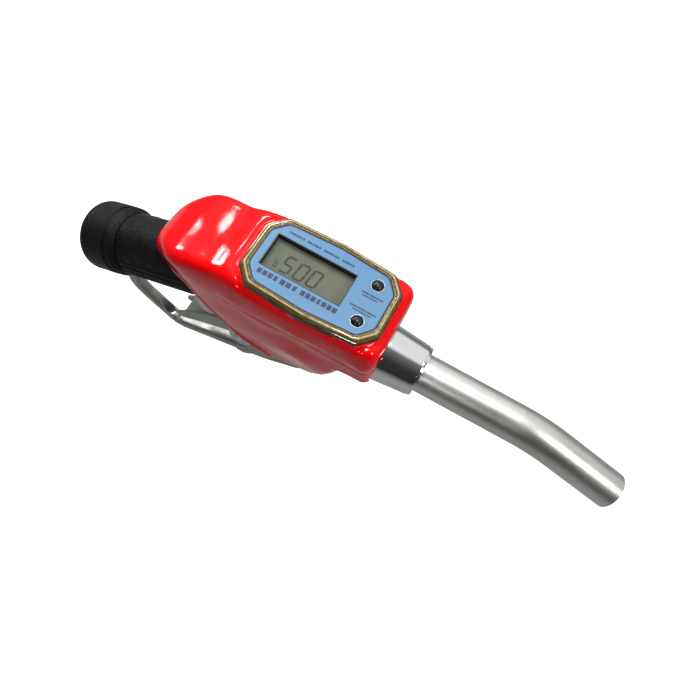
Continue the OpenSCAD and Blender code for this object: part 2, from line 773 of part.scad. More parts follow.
// The spout's path at one radius. The straight runs lap the bend, which is a hair thinner.
module spout_run(r, from, extra) {
    lap = 0.5;
    hair = 0.02;
    tangent = spout_bend_r * tan(spout_bend / 2);
    start = bend_x - tangent;
    along_flow(from) cylinder(r = r, h = start - from + lap);
    translate([start, 0, flow_z - spout_bend_r]) rotate([90, 0, 0]) rotate([0, 0, 90 - spout_bend])
        rotate_extrude(angle = spout_bend) translate([spout_bend_r, 0]) circle(r = r - hair);
    translate([bend_x, 0, flow_z]) rotate([0, 90 + spout_bend, 0]) translate([0, 0, tangent - lap])
        cylinder(r = r, h = spout_tip_len - tangent + lap + extra);
}

// Outer form of the cover, drawn in by inset on all sides.
module cover_form(inset) {
    module ball(x, y, z, r) {
        for (side = [-1, 1]) translate([x, side * y, z]) sphere(r = r - inset, $fn = 24);
    }
    hull() {
        ball(192, 21.5, 79.5, 5.5);
        ball(192, 16.5, 35.5, 5);
        ball(193, 23, 66, 4.5);
        ball(110, 21.5, 79.5, 5.5);
        ball(110, 23, 66, 4.5);
        ball(110, 16.5, 35.5, 5);
    }
    hull() {
        ball(112, 19, 74.5, 8);
        ball(112, 17, 30, 7);
        ball(78, 16.5, 68.5, 9.5);
        ball(84, 15, 20, 6);
        ball(96, 13, 4, 6);
        ball(112, 12, -2, 6);
    }
    hull() {
        ball(78, 16.5, 68.5, 9.5);
        ball(84, 15, 20, 6);
        ball(76, 17, 40, 6);
        ball(65, 14.5, 62, 10);
        ball(66, 17, 44, 5);
        ball(57, 12.5, 44.5, 4.5);
        ball(51, 3, 44.5, 5);
    }
    hull() {
        ball(112, 12, -12, 6);
        ball(112, 13, 28, 6);
        ball(147, 4, -15.5, 10);
        ball(167, 8, 2, 10);
        ball(170, 13, 30, 8);
    }
    hull() {
        ball(100, 12.4, 8, 6);
        ball(97, 12.4, -2, 5.5);
        ball(112, 12.4, -14, 6);
        ball(112, 12.4, 8, 6);
    }
}

// Red vinyl cover over the valve casting and the meter.
module body_cover() {
    color([0.85, 0.05, 0.05]) difference() {
        cover_form(0);
        cover_form(cover_wall);
        cover_mouth();
        along_handle(50) cylinder(r = sleeve_r + 0.2, h = 40);
        along_flow(190) cylinder(r = collar_root_r + 0.4, h = 12);
        translate([panel_x, 0, 80]) linear_extrude(height = 10) panel_outline(0.25);
    }
}

// Openings: below and behind for the handle, the lever and its fork; under the meter; and for the keel.
module cover_mouth() {
    side_plate([[30, 42], [74, 42], [86, 22], [97, 5], [101, -12], [112, -21], [124, -25], [124, -50],
                [20, -50]], 40);
    side_plate([[60, 20], [120, 20], [120, -50], [60, -50]], 12.4);
    side_plate([[104, 25], [165, 25], [165, 45], [104, 45]], 13);
    translate([121, -8, keel_bottom - 10]) cube([37, 16, 19]);
    translate([172, -30, 0]) cube([40, 60, 33]);
}

// One line for each node.
nozzle_body();
body_cover();
handle_sleeve();
end_knob();
inlet_swivel();
swivel_o_rings();
swivel_circlip();
inlet_strainer();
lever();
lever_pivot_pin();
pivot_pin_clips();
lever_guard();
guard_screws();
valve_stem();
stem_nut();
valve_poppet();
poppet_seal();
valve_seat();
valve_spring();
valve_cap();
valve_cap_o_ring();
stem_packing();
packing_nut();
meter_body();
meter_joint_o_ring();
rear_flow_straightener();
front_flow_straightener();
rotor_bushes();
straightener_circlips();
turbine_rotor();
rotor_shaft();
pickup_coil();
circuit_board();
button_switches();
lcd_module();
batteries();
battery_contacts();
faceplate();
faceplate_gasket();
faceplate_screws();
face_label();
display_button();
calibrate_button();
spout_collar();
spout_o_ring();
spout_tube();
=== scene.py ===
"""Looks of a fuel dispensing nozzle with a turbine meter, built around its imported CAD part.

Lengths inside the shape code are millimetres in the part's own frame: +X to the spout, +Z out of the
display, the nozzle symmetric about Y = 0. Meshes are written in metres.
"""
import json
import logging
import math
from dataclasses import dataclass, field
from enum import Enum
from typing import Callable, Optional, Sequence

import bpy
import numpy as np
from mathutils import Matrix, Vector


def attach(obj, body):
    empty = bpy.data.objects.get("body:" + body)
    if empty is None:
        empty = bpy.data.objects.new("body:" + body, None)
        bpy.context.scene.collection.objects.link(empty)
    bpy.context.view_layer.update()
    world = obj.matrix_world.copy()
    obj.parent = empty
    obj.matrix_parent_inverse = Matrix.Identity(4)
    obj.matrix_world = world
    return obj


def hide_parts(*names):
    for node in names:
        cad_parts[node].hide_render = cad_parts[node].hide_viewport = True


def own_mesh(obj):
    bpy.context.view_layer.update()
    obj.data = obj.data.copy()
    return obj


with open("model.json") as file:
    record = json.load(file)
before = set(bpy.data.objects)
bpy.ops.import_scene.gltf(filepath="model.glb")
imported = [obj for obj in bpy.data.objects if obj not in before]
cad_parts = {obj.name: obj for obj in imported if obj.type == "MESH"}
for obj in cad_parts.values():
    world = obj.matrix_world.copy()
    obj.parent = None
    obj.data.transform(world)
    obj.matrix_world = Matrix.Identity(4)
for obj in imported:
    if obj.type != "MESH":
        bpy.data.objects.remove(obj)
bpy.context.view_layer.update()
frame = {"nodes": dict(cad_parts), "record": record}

MM = 0.001
FAR_AWAY = 1e3
PIN_GAP = 0.05
LOG = logging.getLogger("nozzle")
Array = np.ndarray
Point2 = tuple[float, float]
FieldOf3 = Callable[[Array, Array, Array], Array]
Colour = tuple[float, float, float]


# ---------------------------------------------------------------- distance fields

def smooth_max(a: Array, b: Array, k: float) -> Array:
    """Largest of two distances, rounded over a width.

    Args:
        a: First distance.
        b: Second distance.
        k: Width of the rounding, in millimetres.

    Returns:
        The blended distance.
    """
    h = np.maximum(k - np.abs(a - b), 0.0) / k
    return np.maximum(a, b) + h * h * k / 4


def smooth_min(a: Array, b: Array, k: float) -> Array:
    """Smallest of two distances, filleted over a width of k millimetres."""
    return -smooth_max(-a, -b, k)


def smooth_step(low: float, high: float, value: Array) -> Array:
    """Rises from 0 at low to 1 at high with level ends."""
    t = np.clip((value - low) / (high - low), 0.0, 1.0)
    return t * t * (3 - 2 * t)


def segment_distance(u: Array, v: Array, a: Point2, b: Point2) -> Array:
    """Distance in a plane to a segment.

    Args:
        u: First coordinates.
        v: Second coordinates.
        a: Start of the segment.
        b: End of the segment.

    Returns:
        Distances from (u, v).
    """
    du, dv = b[0] - a[0], b[1] - a[1]
    t = np.clip(((u - a[0]) * du + (v - a[1]) * dv) / (du * du + dv * dv), 0.0, 1.0)
    return np.hypot(u - a[0] - t * du, v - a[1] - t * dv)


def polygon_distance(u: Array, v: Array, points: Sequence[Point2]) -> Array:
    """Signed distance in a plane to a closed outline.

    Args:
        u: First coordinates.
        v: Second coordinates.
        points: Corners of the outline, in order.

    Returns:
        Distances, negative inside.
    """
    u, v = np.broadcast_arrays(u, v)
    near = np.full(u.shape, 1e9)
    inside = np.zeros(u.shape, bool)
    for a, b in zip(points, list(points[1:]) + [points[0]]):
        near = np.minimum(near, segment_distance(u, v, a, b))
        if a[1] != b[1]:
            spans = (v < a[1]) != (v < b[1])
            inside ^= spans & (u < a[0] + (v - a[1]) * (b[0] - a[0]) / (b[1] - a[1]))
    return np.where(inside, -near, near)


def rounded(points: Sequence[Point2], radius: float, steps: int = 4) -> list[Point2]:
    """Turns every corner of an outline into a short curve.

    Args:
        points: Corners of the outline.
        radius: How far from the corner the curve starts, in millimetres.
        steps: Points on each curve, less one.

    Returns:
        The points of the softened outline.
    """
    out: list[Point2] = []
    count = len(points)
    for i, corner in enumerate(points):
        p = np.array(corner, float)
        ends = []
        for q in (points[i - 1], points[(i + 1) % count]):
            way = np.array(q, float) - p
            reach = min(radius, 0.45 * float(np.linalg.norm(way)))
            ends.append(p + way / np.linalg.norm(way) * reach)
        for j in range(steps + 1):
            t = j / steps
            spot = (1 - t) ** 2 * ends[0] + 2 * t * (1 - t) * p + t * t * ends[1]
            out.append((float(spot[0]), float(spot[1])))
    return out


class ThinPlate:
    """A smooth height over a plane that passes through a few control points."""

    def __init__(self, controls: Sequence[tuple[float, float, float]], scale: float = 50.0) -> None:
        """Fits the plate.

        Args:
            controls: (u, v, height) of each control point.
            scale: Length that the coordinates are divided by.
        """
        data = np.array(controls, float)
        self.scale = scale
        self.nodes = data[:, :2] / scale
        count = len(data)
        gap = np.linalg.norm(self.nodes[:, None] - self.nodes[None], axis=2)
        kernel = self._kernel(gap) + 0.0015 * np.eye(count)
        side = np.hstack([np.ones((count, 1)), self.nodes])
        system = np.block([[kernel, side], [side.T, np.zeros((3, 3))]])
        self.weights = np.linalg.solve(system, np.concatenate([data[:, 2], np.zeros(3)]))

    @staticmethod
    def _kernel(r: Array) -> Array:
        """Thin-plate kernel of a distance."""
        return r * r * np.log(np.maximum(r, 1e-9))

    def __call__(self, u: Array, v: Array) -> Array:
        """Height of the plate.

        Args:
            u: First coordinates.
            v: Second coordinates.

        Returns:
            Heights at (u, v).
        """
        u, v = np.broadcast_arrays(u / self.scale, v / self.scale)
        total = self.weights[-3] + self.weights[-2] * u + self.weights[-1] * v
        for (a, b), w in zip(self.nodes, self.weights):
            total = total + w * self._kernel(np.hypot(u - a, v - b))
        return total


# ---------------------------------------------------------------- meshes

def mesh_object(name: str, verts: Array, faces: Sequence[Sequence[int]],
                smooth: bool = True) -> bpy.types.Object:
    """Makes an object at the origin from vertices in millimetres.

    Args:
        name: Name of the object.
        verts: Vertices, one a row.
        faces: Corner lists, counter-clockwise from outside.
        smooth: Whether the faces are shaded smooth.

    Returns:
        The linked object.
    """
    mesh = bpy.data.meshes.new(name)
    mesh.from_pydata((np.asarray(verts, float) * MM).tolist(), [], [list(map(int, f)) for f in faces])
    mesh.polygons.foreach_set("use_smooth", [smooth] * len(mesh.polygons))
    mesh.update()
    obj = bpy.data.objects.new(name, mesh)
    bpy.context.scene.collection.objects.link(obj)
    return obj


def mesh_from_field(name: str, shape: FieldOf3, low: Sequence[float], high: Sequence[float],
                    step: float) -> bpy.types.Object:
    """Meshes the surface where a distance field is zero, then pulls the vertices onto it.

    Args:
        name: Name of the object.
        shape: The field; negative inside.
        low: Lowest corner of the sampled box, in millimetres.
        high: Highest corner of the sampled box.
        step: Spacing of the samples.

    Returns:
        The linked object.
    """
    axes = [np.arange(low[i], high[i] + step, step) for i in range(3)]
    grid = np.meshgrid(*axes, indexing="ij", sparse=True)
    f = np.array(np.broadcast_to(shape(*grid), [len(a) for a in axes]))
    cells = tuple(n - 1 for n in f.shape)
    total = np.zeros(cells + (3,))
    count = np.zeros(cells)
    crossings = []
    for axis in range(3):
        lower = f.take(range(0, f.shape[axis] - 1), axis)
        upper = f.take(range(1, f.shape[axis]), axis)
        cross = (lower < 0) != (upper < 0)
        t = np.where(cross, lower / np.where(cross, lower - upper, 1.0), 0.0)
        crossings.append((cross, lower < 0))
        one, two = (axis + 1) % 3, (axis + 2) % 3
        for d1 in (0, 1):
            for d2 in (0, 1):
                part = [slice(None)] * 3
                part[one] = slice(d1, d1 + cells[one])
                part[two] = slice(d2, d2 + cells[two])
                hit = cross[tuple(part)].astype(float)
                total[..., axis] += t[tuple(part)] * hit
                total[..., one] += d1 * hit
                total[..., two] += d2 * hit
                count += hit
    active = count > 0
    index = np.full(cells, -1, int)
    index[active] = np.arange(int(active.sum()))
    verts = np.array(low, float) + step * (np.argwhere(active) + total[active] / count[active][:, None])
    quads = []
    for axis, (cross, low_inside) in enumerate(crossings):
        one, two = (axis + 1) % 3, (axis + 2) % 3
        part = [slice(None)] * 3
        part[one] = slice(1, cells[one])
        part[two] = slice(1, cells[two])
        spots = np.argwhere(cross[tuple(part)])
        forward = low_inside[tuple(part)][cross[tuple(part)]]
        spots[:, one] += 1
        spots[:, two] += 1
        ring = []
        for d1, d2 in ((1, 1), (0, 1), (0, 0), (1, 0)):
            shifted = spots.copy()
            shifted[:, one] -= d1
            shifted[:, two] -= d2
            ring.append(index[tuple(shifted.T)])
        quad = np.stack(ring, 1)
        quads.append(np.where(forward[:, None], quad, quad[:, ::-1]))
    verts = project(shape, verts, step)
    return mesh_object(name, verts, np.vstack(quads))


def project(shape: FieldOf3, verts: Array, step: float, rounds: int = 2) -> Array:
    """Moves vertices along the field's slope until they lie on the surface.

    Args:
        shape: The distance field.
        verts: Vertices near the surface.
        step: Grid spacing, which limits each move.
        rounds: Number of Newton steps.

    Returns:
        The moved vertices.
    """
    eps = 0.05
    for _ in range(rounds):
        here = shape(*verts.T)
        slope = np.stack([(shape(*(verts + eps * np.eye(3)[i]).T) - here) / eps for i in range(3)], 1)
        size = np.maximum((slope ** 2).sum(1), 0.05)
        verts = verts - slope * np.clip(here / size, -0.4 * step, 0.4 * step)[:, None]
    return verts


def loft(name: str, loops: Sequence[Array], closed: bool = True, caps: bool = False,
         smooth: bool = True) -> bpy.types.Object:
    """Skins loops that have the same number of points.

    Args:
        name: Name of the object.
        loops: Arrays of points in millimetres, each a closed loop.
        closed: Whether the last loop joins the first.
        caps: Whether the end loops are filled.
        smooth: Whether the faces are shaded smooth.

    Returns:
        The linked object.
    """
    verts = np.vstack(loops)
    size = len(loops[0])
    faces: list[list[int]] = []
    for i in range(len(loops) if closed else len(loops) - 1):
        a, b = i * size, (i + 1) % len(loops) * size
        faces += [[a + j, a + (j + 1) % size, b + (j + 1) % size, b + j] for j in range(size)]
    if caps:
        faces.append(list(range(size))[::-1])
        faces.append(list(range(len(verts) - size, len(verts))))
    obj = mesh_object(name, verts, faces, smooth)
    face_outward(obj)
    return obj


def face_outward(obj: bpy.types.Object) -> None:
    """Turns a closed mesh inside out where its signed volume is negative.

    Args:
        obj: The closed piece.
    """
    mesh = obj.data
    mesh.calc_loop_triangles()
    tri = np.zeros(len(mesh.loop_triangles) * 3, np.int32)
    mesh.loop_triangles.foreach_get("vertices", tri)
    co = np.zeros(len(mesh.vertices) * 3)
    mesh.vertices.foreach_get("co", co)
    corners = co.reshape(-1, 3)[tri].reshape(-1, 3, 3)
    if np.einsum("ij,ij->i", corners[:, 0], np.cross(corners[:, 1], corners[:, 2])).sum() < 0:
        mesh.flip_normals()


def sharpen(obj: bpy.types.Object, degrees: float) -> None:
    """Marks edges sharper than an angle so that smooth shading stops at them."""
    obj.data.set_sharp_from_angle(angle=math.radians(degrees))


# ---------------------------------------------------------------- materials

class Grain(Enum):
    """Kinds of fine surface that the nozzle's parts have."""

    CAST = "cast"
    DRAWN = "drawn"
    TURNED = "turned"
    CRINKLE = "crinkle"
    VINYL = "vinyl"
    MOULDED = "moulded"
    PRINT = "print"


@dataclass(frozen=True)
class GrainShape:
    """How a grain's noise is laid out on the part.

    Attributes:
        size: Size of the grain along the part's X, Y and Z, in millimetres.
        detail: Octaves of the noise.
        height: Height of its bump, in millimetres.
    """

    size: tuple[float, float, float]
    detail: float
    height: float


GRAINS: dict[Grain, GrainShape] = {
    Grain.CAST: GrainShape((1.1, 1.1, 1.1), 5.0, 0.10),
    Grain.DRAWN: GrainShape((9.0, 0.35, 0.35), 4.0, 0.006),
    Grain.TURNED: GrainShape((0.22, 30.0, 30.0), 3.0, 0.006),
    Grain.CRINKLE: GrainShape((1.5, 1.5, 1.5), 4.0, 0.75),
    Grain.VINYL: GrainShape((9.0, 9.0, 9.0), 2.0, 0.10),
    Grain.MOULDED: GrainShape((0.5, 0.5, 0.5), 3.0, 0.02),
    Grain.PRINT: GrainShape((0.6, 0.6, 0.6), 3.0, 0.004),
}


@dataclass(frozen=True)
class Finish:
    """One material of the nozzle.

    Attributes:
        base: Main colour.
        tone: Colour of the darker or aged spots.
        grain: Kind of fine surface.
        rough: Mean roughness.
        rough_spread: How much the roughness changes over the surface.
        tone_share: How strongly the tone shows.
        metallic: 1 for bare metal.
        coat: Weight of the clear coat.
        wear_and_highlight: Strength of the bright edges, partly real wear and partly painted highlight.
        worn_and_lit_colour: Colour of a bright edge, partly worn and partly lit.
        shade_in_hollows: Strength of the painted shade darkening the hollows.
        specular: Specular level.
        ior: Index of refraction.
    """

    base: Colour
    tone: Colour
    grain: Grain
    rough: float
    rough_spread: float = 0.08
    tone_share: float = 0.35
    metallic: float = 0.0
    coat: float = 0.0
    wear_and_highlight: float = 0.0
    worn_and_lit_colour: Colour = (0.8, 0.8, 0.8)
    shade_in_hollows: float = 0.0
    specular: float = 0.5
    ior: float = 1.5


FINISHES: dict[str, Finish] = {
    "cast_aluminium": Finish((0.56, 0.57, 0.58), (0.34, 0.34, 0.34), Grain.CAST, 0.42, 0.14, 0.5, 1.0,
                             shade_in_hollows=0.5),
    "grey_casting": Finish((0.36, 0.375, 0.345), (0.20, 0.215, 0.19), Grain.CAST, 0.40, 0.14, 0.45, 0.85,
                           wear_and_highlight=0.6, worn_and_lit_colour=(0.85, 0.86, 0.85), shade_in_hollows=0.4),
    "red_vinyl": Finish((0.72, 0.003, 0.006), (0.58, 0.002, 0.003), Grain.VINYL, 0.12, 0.06, 0.35,
                        specular=0.34),
    "black_grip": Finish((0.005, 0.005, 0.005), (0.016, 0.016, 0.016), Grain.CRINKLE, 0.42, 0.16, 0.5,
                         wear_and_highlight=0.25, worn_and_lit_colour=(0.05, 0.05, 0.05), specular=0.22),
    "bright_steel": Finish((0.66, 0.66, 0.68), (0.45, 0.45, 0.46), Grain.TURNED, 0.24, 0.10, 0.4, 1.0,
                           wear_and_highlight=0.4),
    "spring_steel": Finish((0.34, 0.34, 0.35), (0.18, 0.17, 0.16), Grain.DRAWN, 0.34, 0.12, 0.5, 1.0,
                           wear_and_highlight=0.3),
    "black_rubber": Finish((0.006, 0.006, 0.006), (0.018, 0.018, 0.018), Grain.MOULDED, 0.34, 0.12, 0.4),
    "brass": Finish((0.72, 0.50, 0.22), (0.45, 0.28, 0.11), Grain.TURNED, 0.28, 0.12, 0.45, 1.0, wear_and_highlight=0.3,
                    worn_and_lit_colour=(0.95, 0.8, 0.45)),
    "white_plastic": Finish((0.78, 0.78, 0.74), (0.62, 0.61, 0.56), Grain.MOULDED, 0.42, 0.1, 0.3),
    "bush_plastic": Finish((0.30, 0.06, 0.08), (0.18, 0.03, 0.04), Grain.MOULDED, 0.40, 0.1, 0.4),
    "copper_coil": Finish((0.62, 0.26, 0.10), (0.36, 0.12, 0.05), Grain.TURNED, 0.34, 0.1, 0.5, 0.9),
    "board_green": Finish((0.015, 0.15, 0.06), (0.03, 0.25, 0.11), Grain.PRINT, 0.28, 0.1, 0.5, coat=0.4),
    "black_plastic": Finish((0.02, 0.02, 0.022), (0.05, 0.05, 0.05), Grain.MOULDED, 0.40, 0.1, 0.4),
    "lcd_grey": Finish((0.120, 0.132, 0.095), (0.055, 0.062, 0.042), Grain.VINYL, 0.22, 0.05, 0.5, coat=0.3),
    "battery_can": Finish((0.10, 0.14, 0.19), (0.05, 0.07, 0.1), Grain.PRINT, 0.30, 0.1, 0.4, 0.3, coat=0.5),
    "label_blue": Finish((0.085, 0.205, 0.345), (0.07, 0.175, 0.30), Grain.PRINT, 0.36, 0.06, 0.4, coat=0.25),
    "label_navy": Finish((0.012, 0.022, 0.085), (0.02, 0.035, 0.12), Grain.PRINT, 0.40, 0.06, 0.4),
    "lcd_ink": Finish((0.010, 0.014, 0.008), (0.02, 0.025, 0.015), Grain.PRINT, 0.35, 0.05, 0.4),
    "polished_aluminium": Finish((0.66, 0.665, 0.67), (0.50, 0.50, 0.51), Grain.TURNED, 0.10, 0.05, 0.3, 1.0,
                                 wear_and_highlight=0.2),
    "satin_aluminium": Finish((0.56, 0.56, 0.53), (0.42, 0.42, 0.39), Grain.DRAWN, 0.38, 0.08, 0.35, 1.0,
                              wear_and_highlight=0.3),
}


# The second and third entries are lighter and darker copies of the clear plastic: painted highlight and
# painted shade for bands of the rim.
CLEAR_TINTS: dict[str, tuple[Colour, ...]] = {
    "clear_plastic": ((0.035, 0.022, 0.006), (0.17, 0.10, 0.025), (0.30, 0.20, 0.06), (0.12, 0.09, 0.03)),
    "clear_painted_highlight": ((0.20, 0.14, 0.05), (0.48, 0.38, 0.18), (0.62, 0.54, 0.32), (0.26, 0.23, 0.11)),
    "clear_painted_shade": ((0.012, 0.010, 0.004), (0.05, 0.045, 0.015), (0.10, 0.10, 0.045), (0.03, 0.035, 0.015)),
}


class Nodes:
    """Short hand for building a node tree."""

    def __init__(self, tree: bpy.types.NodeTree) -> None:
        """Keeps the tree that nodes are added to."""
        self.tree = tree

    def add(self, kind: str, inputs: Optional[dict] = None, **settings: object) -> bpy.types.Node:
        """Adds a node.

        Args:
            kind: Blender's type name of the node.
            inputs: Values or output sockets by input name or index.
            **settings: Properties of the node.

        Returns:
            The node.
        """
        node = self.tree.nodes.new(kind)
        for key, value in settings.items():
            setattr(node, key, value)
        for key, value in (inputs or {}).items():
            if isinstance(value, bpy.types.NodeSocket):
                self.tree.links.new(value, node.inputs[key])
            else:
                node.inputs[key].default_value = value
        return node

    def maths(self, operation: str, a: object, b: object = 0.0, clamp: bool = False) -> bpy.types.NodeSocket:
        """Output of a Math node on two values or sockets."""
        return self.add("ShaderNodeMath", {0: a, 1: b}, operation=operation, use_clamp=clamp).outputs[0]

    def mix(self, share: object, a: object, b: object) -> bpy.types.NodeSocket:
        """Colour between a and b."""
        node = self.add("ShaderNodeMix", {0: share, 6: a, 7: b}, data_type="RGBA")
        return node.outputs[2]

    def ramp(self, value: bpy.types.NodeSocket,
             stops: Sequence[tuple[float, Sequence[float]]]) -> bpy.types.NodeSocket:
        """Adds a Color Ramp.

        Args:
            value: Where the ramp is read.
            stops: (place, RGBA) of each stop.

        Returns:
            The ramp's colour.
        """
        node = self.add("ShaderNodeValToRGB", {0: value})
        ramp = node.color_ramp
        while len(ramp.elements) < len(stops):
            ramp.elements.new(0.5)
        for element, (place, colour) in zip(ramp.elements, stops):
            element.position = place
            element.color = colour
        return node.outputs[0]


class ShaderEffects:
    """Node groups that the materials share."""

    def __init__(self) -> None:
        """Builds the three groups."""
        self.grain = self._grain()
        self.edge = self._edge()
        self.hollow_shade = self._hollow_shade()

    @staticmethod
    def _group(name: str, inputs: Sequence[tuple[str, str, object]],
               outputs: Sequence[tuple[str, str]]) -> tuple:
        """Starts a node group.

        Args:
            name: Name of the group.
            inputs: Label, socket type and default value of each input.
            outputs: Label and socket type of each output.

        Returns:
            The group, its node builder, its input node and its output node.
        """
        group = bpy.data.node_groups.new(name, "ShaderNodeTree")
        for label, kind, value in inputs:
            socket = group.interface.new_socket(label, in_out="INPUT", socket_type=kind)
            socket.default_value = value
        for label, kind in outputs:
            group.interface.new_socket(label, in_out="OUTPUT", socket_type=kind)
        nodes = Nodes(group)
        return group, nodes, nodes.add("NodeGroupInput"), nodes.add("NodeGroupOutput")

    def _grain(self) -> bpy.types.NodeTree:
        """Stretched noise on Object coordinates.

        Returns:
            A group with a fine tone mask, a bump height and a broad blotch mask.
        """
        group, nodes, given, out = self._group(
            "surface_grain",
            [("Scale", "NodeSocketVector", (1.0, 1.0, 1.0)), ("Detail", "NodeSocketFloat", 3.0),
             ("Seed", "NodeSocketFloat", 0.0)],
            [("Mask", "NodeSocketFloat"), ("Height", "NodeSocketFloat"), ("Blotch", "NodeSocketFloat")])
        place = nodes.add("ShaderNodeTexCoord").outputs["Object"]
        scaled = nodes.add("ShaderNodeVectorMath", {0: place, 1: given.outputs["Scale"]},
                           operation="MULTIPLY")
        fine = nodes.add("ShaderNodeTexNoise", {"Vector": scaled.outputs[0], "W": given.outputs["Seed"],
                                                "Scale": 1.0, "Detail": given.outputs["Detail"],
                                                "Roughness": 0.6}, noise_dimensions="4D")
        broad = nodes.add("ShaderNodeTexNoise", {"Vector": place, "W": given.outputs["Seed"], "Scale": 90.0,
                                                 "Detail": 4.0}, noise_dimensions="4D")
        mask = nodes.add("ShaderNodeMapRange", {0: fine.outputs[0], 1: 0.32, 2: 0.68})
        blotch = nodes.add("ShaderNodeMapRange", {0: broad.outputs[0], 1: 0.35, 2: 0.65})
        nodes.tree.links.new(mask.outputs[0], out.inputs["Mask"])
        nodes.tree.links.new(fine.outputs[0], out.inputs["Height"])
        nodes.tree.links.new(blotch.outputs[0], out.inputs["Blotch"])
        return group

    def _edge(self) -> bpy.types.NodeTree:
        """Broken mask of the raised edges, from the mesh's pointiness: partly real wear, partly painted
        highlight.

        Returns:
            The group.
        """
        group, nodes, given, out = self._group("edge_wear_and_painted_highlight", [("Amount", "NodeSocketFloat", 0.5)],
                                               [("Mask", "NodeSocketFloat")])
        point = nodes.add("ShaderNodeNewGeometry").outputs["Pointiness"]
        place = nodes.add("ShaderNodeTexCoord").outputs["Object"]
        noise = nodes.add("ShaderNodeTexNoise", {"Vector": place, "Scale": 420.0, "Detail": 3.0})
        sharp = nodes.add("ShaderNodeMapRange", {0: point, 1: 0.515, 2: 0.58})
        strong = nodes.maths("MULTIPLY", noise.outputs[0], 1.6)
        broken = nodes.maths("MULTIPLY", sharp.outputs[0], strong, True)
        mask = nodes.maths("MULTIPLY", broken, given.outputs["Amount"], True)
        nodes.tree.links.new(mask, out.inputs["Mask"])
        return group

    def _hollow_shade(self) -> bpy.types.NodeTree:
        """Mask of the hollows, where shade is painted in.

        Returns:
            The group.
        """
        group, nodes, given, out = self._group("hollow_painted_shade", [("Amount", "NodeSocketFloat", 0.5)],
                                               [("Mask", "NodeSocketFloat")])
        point = nodes.add("ShaderNodeNewGeometry").outputs["Pointiness"]
        hollow = nodes.add("ShaderNodeMapRange", {0: point, 1: 0.49, 2: 0.43})
        mask = nodes.maths("MULTIPLY", hollow.outputs[0], given.outputs["Amount"], True)
        nodes.tree.links.new(mask, out.inputs["Mask"])
        return group


